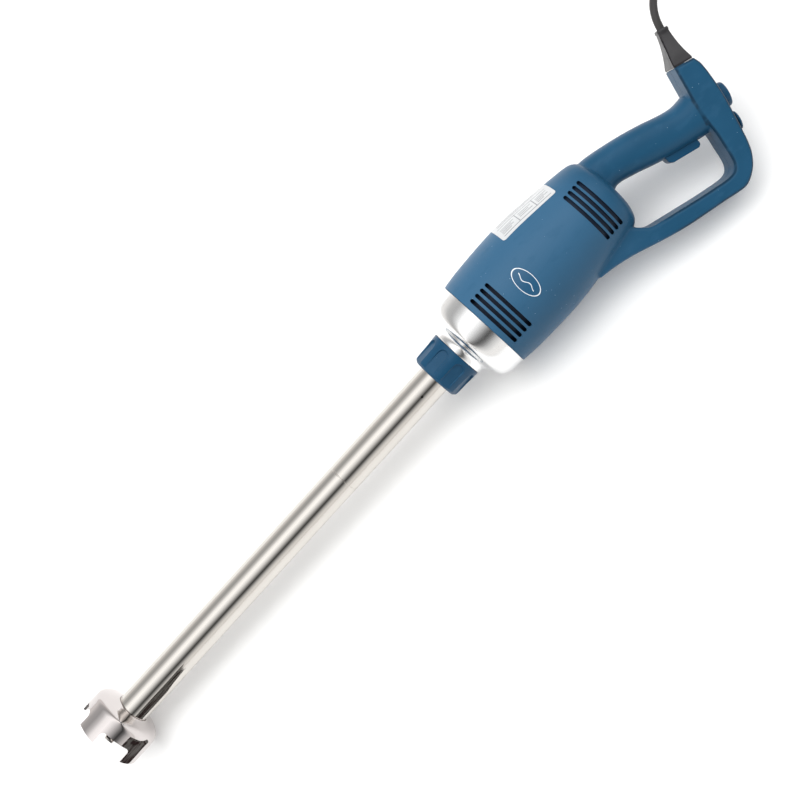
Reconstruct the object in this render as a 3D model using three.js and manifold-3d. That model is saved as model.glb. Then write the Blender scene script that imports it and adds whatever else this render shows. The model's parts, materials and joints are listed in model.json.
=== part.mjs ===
// A heavy-duty immersion blender, lying on a bench with its mains lead coiled beside it.
// Millimetres. The tool itself is modelled about its own axis: x runs from the rim of the
// bell (x = 0) to the handle, y is up through the grip towards the lead, z is to the left
// half of the casing. The whole tool then sits in one turned group, as it rests on a bench.
import * as THREE from "three";
import { mergeVertices } from "three/addons/utils/BufferGeometryUtils.js";
import Module from "manifold-3d";

const wasm = await Module();
wasm.setup();

// ---- driving dimensions ------------------------------------------------------------
const GAP = 0.3; // between pieces that touch
const SHAFT_LENGTH = 508; // rim of the bell to the locking collar
const TUBE_R = 17.5;
const TUBE_WALL = 1.5;
const TUBE_START = 35; // where the tube is let into the bell
const BELL_R = 39.5;
const BELL_WALL = 2.5;
const BELL_LENGTH = 41;
const WINDOW_HEIGHT = 16.7;
const WINDOW_ANGLE = THREE.MathUtils.degToRad(53);
const PRONGS = 4;
const SPINDLE_R = 5; // the long drive shaft in the tube
const COLLAR_LENGTH = 34;
const COLLAR_R = 29;
const FLUTES = 8;
const FLUTE_WIDTH = 12.4;
const FLUTE_FLOOR = 26.4; // how far their flat floors lie from the axis
const FLUTE_ANGLE = THREE.MathUtils.degToRad(-25.5);
const BODY_START = 582.7; // where the casting ends and the plastic starts
const WALL = 3; // plastic wall
const HALF_THICKNESS = 23; // half the thickness of the guard and the head
const FRAME_ROUND = 5; // rounding of their edges
const SHAFT_TOP = SHAFT_LENGTH + COLLAR_LENGTH - 2;
const MOTOR_SHAFT_R = 6;
const STATOR_START = 630;
const STATOR_LENGTH = 54;
const STATOR_R = 47;
const ROTOR_R = 24.5;
const ROTOR_SLOTS = 12;
const FAN_BLADES = 9;
const SLOT_WIDTH = 4;
const SLOT_HALF_SPAN = 30.5;
const FRONT_SLOTS = { first: 591, pitch: 6.95, count: 4 };
const REAR_SLOTS = { first: 725.6, pitch: 6.5, count: 4 };
const DIAL_R = 12.8;
const BUTTON_R = 10;
const CORD_R = 4;

// How the tool lies: rolled about its axis until the guard touches, bell end down.
const ROLL = THREE.MathUtils.degToRad(27.05);
const PITCH = THREE.MathUtils.degToRad(1.593);
const TOOL_PLACE = new THREE.Vector3(-458.704, 15.808, 39.361);

// ---- materials ---------------------------------------------------------------------
const material = (color, roughness, metalness = 0) =>
  new THREE.MeshStandardMaterial({ color, roughness, metalness });
const BLUE = material(0x2a5f92, 0.55);
const DARK_BLUE = material(0x24527f, 0.5);
const GREY = material(0x6c6e70, 0.6);
const RUBBER = material(0x3a3b3d, 0.7);
const WHITE = material(0xe6e8ea, 0.45);
const BLACK = material(0x1c1d20, 0.5);
const ALUMINIUM = material(0xc9cbcc, 0.25, 1);
const STEEL = material(0xc2c4c6, 0.2, 1);
const IRON = material(0x5b5e63, 0.5, 1);
const COPPER = material(0xb0643a, 0.4, 1);
const BRASS = material(0xc8a65a, 0.35, 1);
const GREEN = material(0x1d6b45, 0.6);
const NYLON = material(0xded9cc, 0.5);

// ---- geometry helpers --------------------------------------------------------------
const X_AXIS = new THREE.Vector3(1, 0, 0);
const Y_AXIS = new THREE.Vector3(0, 1, 0);

// A closed three.js geometry as a solid; a profile may run either way round.
function solid(geometry) {
  const bare = geometry.clone();
  bare.deleteAttribute("normal");
  bare.deleteAttribute("uv");
  const merged = mergeVertices(bare, 1e-4);
  const vertProperties = merged.attributes.position.array;
  const build = (triVerts) =>
    new wasm.Manifold(new wasm.Mesh({ numProp: 3, vertProperties, triVerts }));
  const triVerts = new Uint32Array(merged.index.array);
  const made = build(triVerts);
  if (made.volume() > 0) return made;
  return build(triVerts.reverse());
}

function geometryOf(body) {
  const mesh = body.getMesh();
  const geometry = new THREE.BufferGeometry();
  geometry.setAttribute("position", new THREE.BufferAttribute(mesh.vertProperties, 3));
  geometry.setIndex(new THREE.BufferAttribute(mesh.triVerts, 1));
  const flat = geometry.toNonIndexed();
  flat.computeVertexNormals();
  return flat;
}

const join = (bodies) => bodies.reduce((all, body) => all.add(body));

const cut = (body, tools) => tools.reduce((left, tool) => left.subtract(tool), body);

// A solid turned about the x axis, from [x, radius] pairs that start and end on the axis
// or close on themselves.
function turned(profile, segments = 24) {
  const points = profile.map(([x, r]) => new THREE.Vector2(r, x));
  return solid(new THREE.LatheGeometry(points, segments).rotateZ(-Math.PI / 2));
}

const rod = (from, to, radius, segments = 16) =>
  turned([[from, 0], [from, radius], [to, radius], [to, 0]], segments);

const ring = (from, to, inner, outer, segments = 24) =>
  turned([[from, inner], [from, outer], [to, outer], [to, inner], [from, inner]], segments);

// A rod along z.
const post = (x, y, from, to, radius, segments = 12) =>
  solid(
    new THREE.CylinderGeometry(radius, radius, to - from, segments)
      .rotateX(Math.PI / 2)
      .translate(x, y, (from + to) / 2),
  );

const block = (x0, x1, y0, y1, z0, z1) =>
  solid(
    new THREE.BoxGeometry(x1 - x0, y1 - y0, z1 - z0).translate(
      (x0 + x1) / 2,
      (y0 + y1) / 2,
      (z0 + z1) / 2,
    ),
  );

const outline = (points) => new THREE.Shape(points.map(([x, y]) => new THREE.Vector2(x, y)));

// A plate in the x-y plane from z0 to z1, its edges rounded over and then drawn in by inset.
function plate(shape, z0, z1, round = 0, inset = 0, bevelSegments = 2, curveSegments = 6) {
  const geometry = new THREE.ExtrudeGeometry(shape, {
    depth: z1 - z0 - 2 * round,
    bevelEnabled: round > 0 || inset > 0,
    bevelThickness: round,
    bevelSize: round,
    bevelOffset: -round - inset,
    bevelSegments,
    curveSegments,
  });
  return solid(geometry.translate(0, 0, z0 + round));
}

// A closed skin through equal rings of points.
function loft(rings) {
  const count = rings[0].length;
  const corners = rings.flat().flatMap((point) => point.toArray());
  const middle = (points) =>
    points.reduce((sum, point) => sum.add(point), new THREE.Vector3()).divideScalar(count);
  corners.push(...middle(rings[0]).toArray(), ...middle(rings.at(-1)).toArray());
  const first = rings.length * count;
  const faces = [];
  for (let i = 0; i < count; i++) {
    const next = (i + 1) % count;
    for (let row = 0; row < rings.length - 1; row++) {
      const a = row * count + i;
      const b = row * count + next;
      faces.push(a, b, b + count, a, b + count, a + count);
    }
    const last = (rings.length - 1) * count;
    faces.push(first, next, i, first + 1, last + i, last + next);
  }
  const geometry = new THREE.BufferGeometry();
  geometry.setAttribute("position", new THREE.Float32BufferAttribute(corners, 3));
  geometry.setIndex(faces);
  return solid(geometry);
}

// A round wire along a curve.
function wire(curve, radius, steps, sides = 8) {
  const corners = Array.from({ length: sides }, (_, i) => {
    const angle = (2 * Math.PI * i) / sides;
    return [radius * Math.cos(angle), radius * Math.sin(angle)];
  });
  const section = outline(corners);
  const options = { steps, bevelEnabled: false, extrudePath: curve };
  return solid(new THREE.ExtrudeGeometry(section, options));
}

class Helix extends THREE.Curve {
  constructor(radius, height, turns) {
    super();
    Object.assign(this, { radius, height, turns });
  }
  getPoint(t, target = new THREE.Vector3()) {
    const angle = 2 * Math.PI * this.turns * t;
    const across = [this.radius * Math.cos(angle), this.radius * Math.sin(angle)];
    return target.set(this.height * t, ...across);
  }
}

const spring = (radius, height, turns, wireR) =>
  wire(new Helix(radius, height, turns), wireR, turns * 8, 5);

// A rectangle centred on (x, y), its corners rounded.
function roundRect(x, y, width, height, radius) {
  const [w, h] = [width / 2, height / 2];
  const shape = new THREE.Shape();
  shape.moveTo(x - w + radius, y - h);
  shape.lineTo(x + w - radius, y - h);
  shape.absarc(x + w - radius, y - h + radius, radius, -Math.PI / 2, 0);
  shape.lineTo(x + w, y + h - radius);
  shape.absarc(x + w - radius, y + h - radius, radius, 0, Math.PI / 2);
  shape.lineTo(x - w + radius, y + h);
  shape.absarc(x - w + radius, y + h - radius, radius, Math.PI / 2, Math.PI);
  shape.lineTo(x - w, y - h + radius);
  shape.absarc(x - w + radius, y - h + radius, radius, Math.PI, 1.5 * Math.PI);
  return shape;
}

// Turns a plate that faces +z about the tool's axis.
const facing = (body, angle) => body.rotate([THREE.MathUtils.radToDeg(angle), 0, 0]);

const around = (count, make) =>
  Array.from({ length: count }, (_, i) => make((2 * Math.PI * i) / count));

// ---- casing ------------------------------------------------------------------------
// Radius of the barrel along the axis, and its rounded end.
const BARREL = [
  [BODY_START, 54], [602, 56], [644, 57.3], [672, 56.5], [704, 52.8], [744, 47.2],
  [755, 44.8], [760.5, 41.4], [765, 32], [767, 16], [767, 0],
];

// The grip: where along the axis, its top and bottom edge, and half its width.
const GRIP = [
  [746, 40, -9, 24], [764, 38.4, -8, 23], [774, 37, -4.6, 22], [794, 32, -10.6, 21.2],
  [813, 26.4, -18.3, 21], [832, 19.7, -25.3, 21.2], [852, 11.6, -31.2, 22],
  [866, 7.6, -35.5, 22.5], [880, 7.6, -38, 22.5],
];
const GRIP_CORNER = 2.5; // exponent of its rounded section

// The head and the guard as one bent bar: outer edge, then back along the inner edge.
const FRAME = [
  [890.8, 33.2], [911, 26.4], [912.3, 17], [909.4, -3], [905, -22.5], [899.8, -38.5],
  [893.6, -57.5], [889, -70], [883.5, -80.5], [875, -90], [865, -96.2], [857, -98.3],
  [849.5, -97.3], [832, -92.8], [812, -88.1], [792.5, -83.3], [773, -77.3], [753, -70],
  [733, -62.6], [713.5, -57], [694, -53.5], [694, -30], [742, -30], [760, -52],
  [766, -56.4], [777, -60], [797, -65.8], [817, -71.6], [837, -76.8], [851, -79.8],
  [859, -79], [864, -74], [867, -66], [869.6, -55], [873, -41], [875, -27], [879, -6.5],
  [884.7, 13],
];

// Where along the barrel each air slot is.
const VENTS = [FRONT_SLOTS, REAR_SLOTS].flatMap((group) =>
  Array.from({ length: group.count }, (_, i) => group.first + i * group.pitch),
);

// Screws through the casing: place, and the depth of the seat under the head.
const SCREWS = [
  [616, 47.5, 21], [616, -47.5, 21], [702, 43, 21], [702, -43, 21],
  [790, 11.5, 15], [893.5, 8.5, 18], [872, -82.5, 18], [768, -66.5, 18],
];
const BOSS_R = 5.5;
const SCREW_R = 1.9;
const SCREW_HEAD_R = 3.6;

const insetBarrel = (by, from) =>
  [[from, 0], [from, BARREL[0][1] - by]].concat(
    BARREL.slice(1).map(([x, r]) => [Math.min(x, BARREL.at(-1)[0] - by), Math.max(r - by, 0)]),
  );

function gripSolid(by, sides = 16) {
  const rings = GRIP.map(([x, top, bottom, half]) => {
    const [middle, high] = [(top + bottom) / 2, (top - bottom) / 2 - by];
    return Array.from({ length: sides }, (_, i) => {
      const angle = (2 * Math.PI * i) / sides;
      const round = (v) => Math.sign(v) * Math.abs(v) ** (2 / GRIP_CORNER);
      const y = middle + high * round(Math.cos(angle));
      return new THREE.Vector3(x, y, (half - by) * round(Math.sin(angle)));
    });
  });
  return loft(rings);
}

const TRIGGER_WIDTH = 20;
const TRIGGER_SLOT = block(822.6, 861.6, -48, -14, -TRIGGER_WIDTH / 2 - 1, TRIGGER_WIDTH / 2 + 1);

// The back of the head leans; the dial and the button stand square to it.
const BACK_NORMAL = new THREE.Vector3(0.957, -0.29, 0);
const DIAL_PLACE = new THREE.Vector3(905.2, -20.8, 0);
const BUTTON_PLACE = new THREE.Vector3(896.9, -48.2, 0);
const backAngle = Math.atan2(BACK_NORMAL.y, BACK_NORMAL.x);
const onBack = (body, place) =>
  body.rotate([0, 0, THREE.MathUtils.radToDeg(backAngle)]).translate(place.toArray());

// The boot over the lead: the middle of its root on the head, and its tip.
const BOOT_ROOT = new THREE.Vector3(900.9, 29.8, 0);
const BOOT_TIP = new THREE.Vector3(913.8, 67.3, 0);
const BOOT_AXIS = BOOT_TIP.clone().sub(BOOT_ROOT);
const bootTurn = THREE.MathUtils.radToDeg(Math.atan2(BOOT_AXIS.y, BOOT_AXIS.x)) - 90;
const onBoot = (body) => body.rotate([0, 0, bootTurn]).translate(BOOT_ROOT.toArray());

function casing() {
  const outer = join([
    turned([[BODY_START, 0], ...BARREL], 28),
    gripSolid(0),
    plate(outline(FRAME), -HALF_THICKNESS, HALF_THICKNESS, FRAME_ROUND),
  ]);
  const inner = join([
    turned(insetBarrel(WALL, BODY_START - 1), 20),
    gripSolid(WALL, 12),
    plate(outline(FRAME), -HALF_THICKNESS + WALL, HALF_THICKNESS - WALL, 3, WALL, 1),
  ]);
  const slots = VENTS.flatMap((x) =>
    [1, -1].map((side) => {
      const shape = roundRect(x, 0, SLOT_WIDTH, 2 * SLOT_HALF_SPAN, SLOT_WIDTH / 2 - 0.2);
      const [from, to] = side > 0 ? [28, 70] : [-70, -28];
      return plate(shape, from, to, 0, 0, 1, 1);
    }),
  );
  const openings = [
    TRIGGER_SLOT,
    onBack(rod(-8, 8, 4.6, 12), DIAL_PLACE),
    onBack(rod(-8, 8, 4.6, 12), BUTTON_PLACE),
    onBoot(solid(new THREE.CylinderGeometry(6.2, 6.2, 24, 12))),
  ];
  const bosses = SCREWS.map(([x, y]) => post(x, y, -60, 60, BOSS_R, 8).intersect(outer));
  const hollow = cut(outer, [inner]);
  const shell = cut(join([hollow, ...bosses]), [...slots, ...openings]);
  const holes = SCREWS.map(([x, y, seat]) =>
    join([
      post(x, y, -seat - 1, 16, SCREW_R + GAP, 6),
      post(x, y, -70, -seat, SCREW_HEAD_R + GAP, 8),
    ]),
  );
  return cut(shell, holes);
}

function halves() {
  const whole = casing();
  const left = block(500, 1000, -150, 150, GAP / 2, 100);
  const right = block(500, 1000, -150, 150, -100, -GAP / 2);
  return [whole.intersect(left), whole.intersect(right)];
}

const casingScrew = ([x, y, seat]) =>
  join([
    post(x, y, -seat - 2.6, -seat - GAP, SCREW_HEAD_R, 8),
    post(x, y, -seat - 1, 15, SCREW_R - 0.2, 6),
  ]);

// A thin skin over the barrel between two stations, cut to a flat shape seen from angle.
function skinPatch(shape, angle, from, to) {
  const between = (x) => {
    const i = BARREL.findIndex(([station]) => station >= x);
    const [[x0, r0], [x1, r1]] = [BARREL[i - 1], BARREL[i]];
    return r0 + ((r1 - r0) * (x - x0)) / (x1 - x0);
  };
  const stations = [from, ...BARREL.map(([x]) => x).filter((x) => x > from && x < to), to];
  const outside = stations.map((x) => [x, between(x) + 2 * GAP]);
  const inside = stations.map((x) => [x, between(x) + GAP]).reverse();
  const skin = turned([...outside, ...inside, outside[0]], 48);
  return skin.intersect(facing(plate(shape, 20, 80, 0, 0, 1, 3), angle));
}

const LABEL_ANGLE = THREE.MathUtils.degToRad(-69);
const BADGE_ANGLE = THREE.MathUtils.degToRad(-3.1);
const ratingLabel = () => skinPatch(roundRect(690, 0, 70, 36.4, 3), LABEL_ANGLE, 654, 726);
const badgePlate = () =>
  skinPatch(
    new THREE.Shape().absellipse(639.2, 0, 9.4, 18.5, 0, 2 * Math.PI),
    BADGE_ANGLE,
    628,
    650,
  );

// ---- nose casting, collar and shaft ------------------------------------------------
const COLLAR_TOP = SHAFT_LENGTH + COLLAR_LENGTH;
const SPIGOT_R = 23.5;
const noseFlange = () =>
  turned([
    [SHAFT_LENGTH + 14, TUBE_R + 0.6], [SHAFT_LENGTH + 14, SPIGOT_R],
    [COLLAR_TOP + GAP, SPIGOT_R], [COLLAR_TOP + GAP, 28.6], [547, 30], [551, 33.6],
    [553.8, 40], [555.4, 44.4], [558.8, 48.8], [563.8, 51.6],
    [570, 53], [BODY_START - GAP, 53.9], [BODY_START - GAP, 50], [590, 50], [590, 47.5],
    [574, 47.5], [566, 42], [563, 20.5], [576, 20.5], [576, 16.3], [564, 16.3], [564, 11],
    [556, 11], [556, TUBE_R + 0.6], [SHAFT_LENGTH + 14, TUBE_R + 0.6],
  ], 24);

function lockCollar() {
  const blank = turned([
    [SHAFT_LENGTH, TUBE_R + 0.7], [SHAFT_LENGTH, 24.6], [SHAFT_LENGTH + 2.6, COLLAR_R - 1.8],
    [SHAFT_LENGTH + 18, COLLAR_R - 1], [COLLAR_TOP, COLLAR_R], [COLLAR_TOP, SPIGOT_R + GAP],
    [SHAFT_LENGTH + 5, SPIGOT_R + GAP], [SHAFT_LENGTH + 5, TUBE_R + 0.7],
    [SHAFT_LENGTH, TUBE_R + 0.7],
  ], 24);
  const flute = plate(roundRect(SHAFT_LENGTH + 9.5, 0, 39, FLUTE_WIDTH, 6), FLUTE_FLOOR, 40, 0, 0, 1, 2);
  const flutes = around(FLUTES, (angle) => facing(flute, angle + FLUTE_ANGLE));
  return cut(blank, flutes);
}

const shaftTube = () =>
  turned([
    [TUBE_START, TUBE_R - TUBE_WALL], [TUBE_START, TUBE_R], [369, TUBE_R],
    [369.4, TUBE_R - 0.5], [370, TUBE_R - 0.5], [370.4, TUBE_R],
    [SHAFT_LENGTH + 6, TUBE_R], [SHAFT_LENGTH + 6, 22.8], [SHAFT_LENGTH + 12, 22.8],
    [SHAFT_LENGTH + 12, TUBE_R], [SHAFT_TOP, TUBE_R], [SHAFT_TOP, TUBE_R - TUBE_WALL],
    [TUBE_START, TUBE_R - TUBE_WALL],
  ], 24);

const BELL_OUTSIDE = [
  [0, BELL_R], [27, BELL_R - 0.6], [30.5, BELL_R - 1.3], [33.4, 36], [36, 31.5], [38.2, 25.5],
  [BELL_LENGTH, 19.4],
];
const PRONG_ANGLE = THREE.MathUtils.degToRad(-35.5); // the middle of the first prong

function bladeGuard() {
  const bell = turned([
    ...BELL_OUTSIDE, [BELL_LENGTH, TUBE_R + GAP], [34.4, TUBE_R + GAP], [34.4, 21],
    [31.6, 31], [26, BELL_R - BELL_WALL - 0.8], [0, BELL_R - BELL_WALL], [0, BELL_R],
  ], 32);
  const width = 2 * BELL_R * Math.sin(WINDOW_ANGLE / 2);
  const windows = around(PRONGS, (angle) =>
    facing(
      plate(roundRect(WINDOW_HEIGHT - 15, 0, 30, width, 5), 20, 50, 0, 0, 1, 3),
      angle + PRONG_ANGLE + Math.PI / PRONGS,
    ),
  );
  return cut(bell, windows);
}

const BLADE_X = 13;
function blade() {
  const wings = around(4, (angle) => {
    const up = Math.round(angle / (Math.PI / 2)) % 2 ? 1 : -1;
    const rings = [[4, 7, 0], [17, 7.5, 0], [29.5, 4.5, 4.5 * up]].map(([r, half, rise]) =>
      [[-1, -1], [1, -1], [1, 1], [-1, 1]].map(
        ([a, b]) => new THREE.Vector3(BLADE_X + 1.1 + rise + 1.1 * a, half * b, r),
      ),
    );
    return facing(loft(rings), angle);
  });
  const hub = rod(BLADE_X, BLADE_X + 2.2, 9, 16);
  return cut(join([hub, ...wings]), [rod(BLADE_X - 5, BLADE_X + 8, 4 + GAP, 12)]);
}

const driveShaft = () =>
  turned([
    [6, 0], [6, 4], [BLADE_X + 2.6, 4], [BLADE_X + 2.6, SPINDLE_R], [527, SPINDLE_R], [527, 0],
  ], 12);

const bladeNut = () =>
  cut(
    solid(new THREE.CylinderGeometry(7, 7, 5, 6).rotateZ(Math.PI / 2)).translate(10, 0, 0),
    [rod(0, 20, 4 + GAP, 12)],
  );

const bush = (from, to) => ring(from, to, SPINDLE_R + GAP, TUBE_R - TUBE_WALL - GAP, 20);

const bearing = (from, to, inner, outer) =>
  turned([
    [from, inner], [from + 0.8, inner + 2], [from + 0.8, outer - 2], [from, outer],
    [to, outer], [to, inner], [from, inner],
  ], 16);

// ---- motor -------------------------------------------------------------------------
const STATOR_END = STATOR_START + STATOR_LENGTH;
const coilLoop = (grow, z0, z1) => {
  const middle = STATOR_START + STATOR_LENGTH / 2;
  const loop = roundRect(middle, 0, STATOR_LENGTH + 20 + 2 * grow, 58 + 2 * grow, 8);
  loop.holes.push(roundRect(middle, 0, STATOR_LENGTH + 2 - 2 * grow, 36 - 2 * grow, 5));
  return plate(loop, z0 - grow, z1 + grow, 0, 0, 1, 3);
};
const COIL_Z = [29, 37];

function statorCore() {
  const body = ring(STATOR_START, STATOR_END, ROTOR_R + 1, STATOR_R, 24);
  const coils = [0, Math.PI].map((angle) => facing(coilLoop(0.6, ...COIL_Z), angle));
  return cut(body, coils);
}

const fieldCoil = (angle) => facing(coilLoop(0, ...COIL_Z), angle);

const rotorCore = () => {
  const slots = around(ROTOR_SLOTS, (angle) =>
    facing(block(STATOR_START - 2, STATOR_END + 2, -1, 1, ROTOR_R - 4, ROTOR_R + 2), angle),
  );
  const body = ring(STATOR_START + 1, STATOR_END - 1, MOTOR_SHAFT_R + GAP, ROTOR_R, 24);
  return cut(body, slots);
};

const rotorWinding = (from, to) =>
  turned([
    [from, MOTOR_SHAFT_R + 1], [from, 18], [from + 3, 22], [to - 3, 22], [to, 18],
    [to, MOTOR_SHAFT_R + 1], [from, MOTOR_SHAFT_R + 1],
  ], 20);

const motorShaft = () =>
  turned([
    [546, 0], [546, 4.6], [558, 4.6], [558, MOTOR_SHAFT_R], [747, MOTOR_SHAFT_R], [747, 0],
  ], 14);

function coolingFan() {
  const bore = MOTOR_SHAFT_R + GAP;
  const hub = turned([
    [594, bore], [594, 12], [606, 12], [606.5, 40], [608, 40], [608, bore], [594, bore],
  ], 24);
  const blades = around(FAN_BLADES, (angle) => facing(block(596, 607, -0.9, 0.9, 11, 39.5), angle));
  return join([hub, ...blades]);
}

function rearBracket() {
  const hub = ring(731, 741, 13.3, 18, 16);
  const rim = ring(731, 734.5, 39, 43.6, 24);
  const arms = around(4, (angle) => facing(block(731, 734.5, -4, 4, 16, 41), angle + Math.PI / 4));
  return join([hub, rim, ...arms]);
}

const brushHolder = (side) =>
  cut(block(701.5, 712.5, side > 0 ? 17 : -36, side > 0 ? 36 : -17, -5.5, 5.5), [
    block(703.6, 710.4, side > 0 ? 14 : -34, side > 0 ? 34 : -14, -3.4, 3.4),
  ]);

const carbonBrush = (side) =>
  block(704, 710, side > 0 ? 15.6 : -31, side > 0 ? 31 : -15.6, -3, 3);

// ---- controls in the grip and the head ---------------------------------------------
const TRIGGER_PIVOT = [829, -17];
const TRIGGER = [
  [824.2, -13.5], [824.1, -27], [826.6, -30.4], [855.5, -39.2], [858.6, -37.4], [859.4, -31],
  [859, -26], [838, -19.6], [833.5, -13.5],
];

function trigger() {
  const body = plate(outline(TRIGGER), -TRIGGER_WIDTH / 2, TRIGGER_WIDTH / 2, 1);
  return cut(body, [post(...TRIGGER_PIVOT, -20, 20, 2 + GAP, 10)]);
}

const triggerPin = () => post(...TRIGGER_PIVOT, -11, 11, 2, 8);
const powerSwitch = () => {
  const body = block(838, 862, -11.5, 3.5, -7, 7);
  const plunger = block(848, 853, -14.5, -11, -2, 2);
  return join([body, plunger]);
};

function speedDial() {
  const cap = turned([
    [1, 0], [1, DIAL_R - 0.8], [1.8, DIAL_R], [7, DIAL_R - 0.8], [8, 0],
  ], 24);
  const grips = around(12, (angle) => facing(block(2, 9, -0.8, 0.8, DIAL_R - 0.9, 20), angle));
  const stem = rod(-5.5, 2, 4, 12);
  const pointer = block(7.2, 9, -0.7, 0.7, 3, 10.5);
  return cut(join([cut(cap, grips), stem]), [pointer]);
}

const dialPotentiometer = () => rod(-16, -5.8, 8.2, 16);

function lockButton() {
  const cap = turned([
    [3.6, 0], [3.6, BUTTON_R], [5.6, BUTTON_R], [7, 0],
  ], 24);
  return join([cap, rod(-8, 4, 3.6, 10)]);
}

const buttonGuide = () =>
  cut(rod(-15, -8.6, 7.5, 16), [rod(-13, -8, 3.9, 12)]);

const controlBoard = () =>
  join([
    block(-7, 7, -17, 16, -17.2, -15.6),
    block(-5, 2, -14, -2, -15.8, -9.5),
    block(-4, 4, 6, 12, -15.8, -10.5),
  ])
    .rotate([0, 0, -15.8])
    .translate([882.6, -50, 0]);

const cordClamp = () =>
  cut(block(891, 907, 16, 20.6, -12, 12), [
    solid(new THREE.CylinderGeometry(CORD_R + GAP, CORD_R + GAP, 12, 10)).translate(897.2, 18, 0),
  ]);

// A four-sided boot that narrows in a hollow curve to a lip round the lead.
function strainRelief() {
  const length = BOOT_AXIS.length();
  const stations = [
    [0, 10.6, 19.6], [0.1, 9.9, 17.6], [0.3, 8.4, 13], [0.55, 6.9, 9.3], [0.8, 5.9, 7],
    [0.92, 5.7, 6.4], [0.92, 6.2, 6.8], [1, 6, 6.5],
  ];
  const corner = 0.28;
  const rings = stations.map(([t, half, deep]) =>
    [[1, -1], [1, 1], [-1, 1], [-1, -1]].flatMap(([a, b]) => {
      const [ca, cb] = [half * corner, deep * corner];
      const near = new THREE.Vector3(a * half, t * length, b * (deep - cb));
      const far = new THREE.Vector3(a * (half - ca), t * length, b * deep);
      return a * b < 0 ? [far, near] : [near, far];
    }),
  );
  const spigot = solid(new THREE.CylinderGeometry(5.6, 5.6, 7, 12)).translate(0, -3, 0);
  const bore = solid(new THREE.CylinderGeometry(CORD_R + GAP, CORD_R + GAP, 2 * length, 12));
  const boot = join([loft(rings), spigot]).translate(0, GAP, 0);
  return onBoot(cut(boot, [bore.translate(0, length / 2, 0)]));
}

// ---- assembly ----------------------------------------------------------------------
const blender = new THREE.Group();
const tool = new THREE.Group();
tool.quaternion
  .setFromAxisAngle(Y_AXIS, -PITCH)
  .multiply(new THREE.Quaternion().setFromAxisAngle(X_AXIS, ROLL));
tool.position.copy(TOOL_PLACE);
blender.add(tool);

function add(group, name, body, finish) {
  const mesh = new THREE.Mesh(geometryOf(body), finish);
  mesh.name = name;
  group.add(mesh);
}

const subAssembly = () => {
  const group = new THREE.Group();
  tool.add(group);
  return group;
};

const housing = subAssembly();
const [leftHalf, rightHalf] = halves();
add(housing, "body_shell_left", leftHalf, BLUE);
add(housing, "body_shell_right", rightHalf, BLUE);
SCREWS.forEach((screw, i) => add(housing, `casing_screw_${i + 1}`, casingScrew(screw), STEEL));
add(housing, "rating_label", ratingLabel(), WHITE);
add(housing, "badge_plate", badgePlate(), WHITE);
add(housing, "nose_flange", noseFlange(), ALUMINIUM);
add(housing, "front_bearing", bearing(566, 575.5, MOTOR_SHAFT_R + GAP, 16), STEEL);
add(housing, "rear_bearing", bearing(732, 740, MOTOR_SHAFT_R + GAP, 13), STEEL);
add(housing, "rear_bracket", rearBracket(), ALUMINIUM);
add(housing, "stator_core", statorCore(), IRON);
add(housing, "field_coil_left", fieldCoil(0), COPPER);
add(housing, "field_coil_right", fieldCoil(Math.PI), COPPER);
add(housing, "brush_holder_upper", brushHolder(1), BRASS);
add(housing, "brush_holder_lower", brushHolder(-1), BRASS);
add(housing, "carbon_brush_upper", carbonBrush(1), BLACK);
add(housing, "carbon_brush_lower", carbonBrush(-1), BLACK);
add(housing, "trigger_pin", triggerPin(), STEEL);
add(housing, "power_switch", powerSwitch(), BLACK);
add(housing, "dial_potentiometer", onBack(dialPotentiometer(), DIAL_PLACE), BLACK);
add(housing, "lock_button_guide", onBack(buttonGuide(), BUTTON_PLACE), NYLON);
add(housing, "control_board", controlBoard(), GREEN);
add(housing, "cord_clamp", cordClamp(), NYLON);
add(housing, "strain_relief", strainRelief(), GREY);

const rotor = subAssembly();
add(rotor, "motor_shaft", motorShaft(), STEEL);
add(rotor, "rotor_core", rotorCore(), IRON);
add(rotor, "rotor_winding_front", rotorWinding(617, STATOR_START + GAP), COPPER);
add(rotor, "rotor_winding_rear", rotorWinding(STATOR_END - GAP, 696), COPPER);
add(rotor, "commutator", ring(699, 716, MOTOR_SHAFT_R + GAP, 15.2, 24), COPPER);
add(rotor, "cooling_fan", coolingFan(), BLACK);
add(rotor, "drive_dog", cut(rod(541, 556, 9, 6), [rod(545.6, 560, 4.6 + GAP, 14)]), STEEL);

const shaft = subAssembly();
add(shaft, "shaft_tube", shaftTube(), STEEL);
add(shaft, "blade_guard", bladeGuard(), STEEL);
add(shaft, "lip_seal", ring(36, 41, SPINDLE_R + GAP, TUBE_R - TUBE_WALL - GAP, 20), RUBBER);
add(shaft, "lower_bush", bush(42, 64), BRASS);
add(shaft, "middle_bush", bush(360, 380), BRASS);
add(shaft, "upper_bush", bush(496, 516), BRASS);
add(shaft, "lock_collar", lockCollar(), DARK_BLUE);

const driveLine = subAssembly();
add(driveLine, "drive_shaft", driveShaft(), STEEL);
add(driveLine, "blade", blade(), STEEL);
add(driveLine, "blade_nut", bladeNut(), STEEL);
const socket = cut(rod(518, 540.6, 13, 20), [rod(535, 542, 10, 6), rod(517, 527.4, 5 + GAP, 12)]);
add(driveLine, "drive_socket", socket, STEEL);

const controls = subAssembly();
add(controls, "trigger", trigger(), DARK_BLUE);
const triggerSpring = spring(2.6, 5.4, 3, 0.5)
  .rotate([0, 0, 90])
  .translate([842, -19.4, 0]);
add(controls, "trigger_spring", triggerSpring, STEEL);
add(controls, "speed_dial", onBack(speedDial(), DIAL_PLACE), DARK_BLUE);
add(controls, "lock_button", onBack(lockButton(), BUTTON_PLACE), DARK_BLUE);

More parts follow.
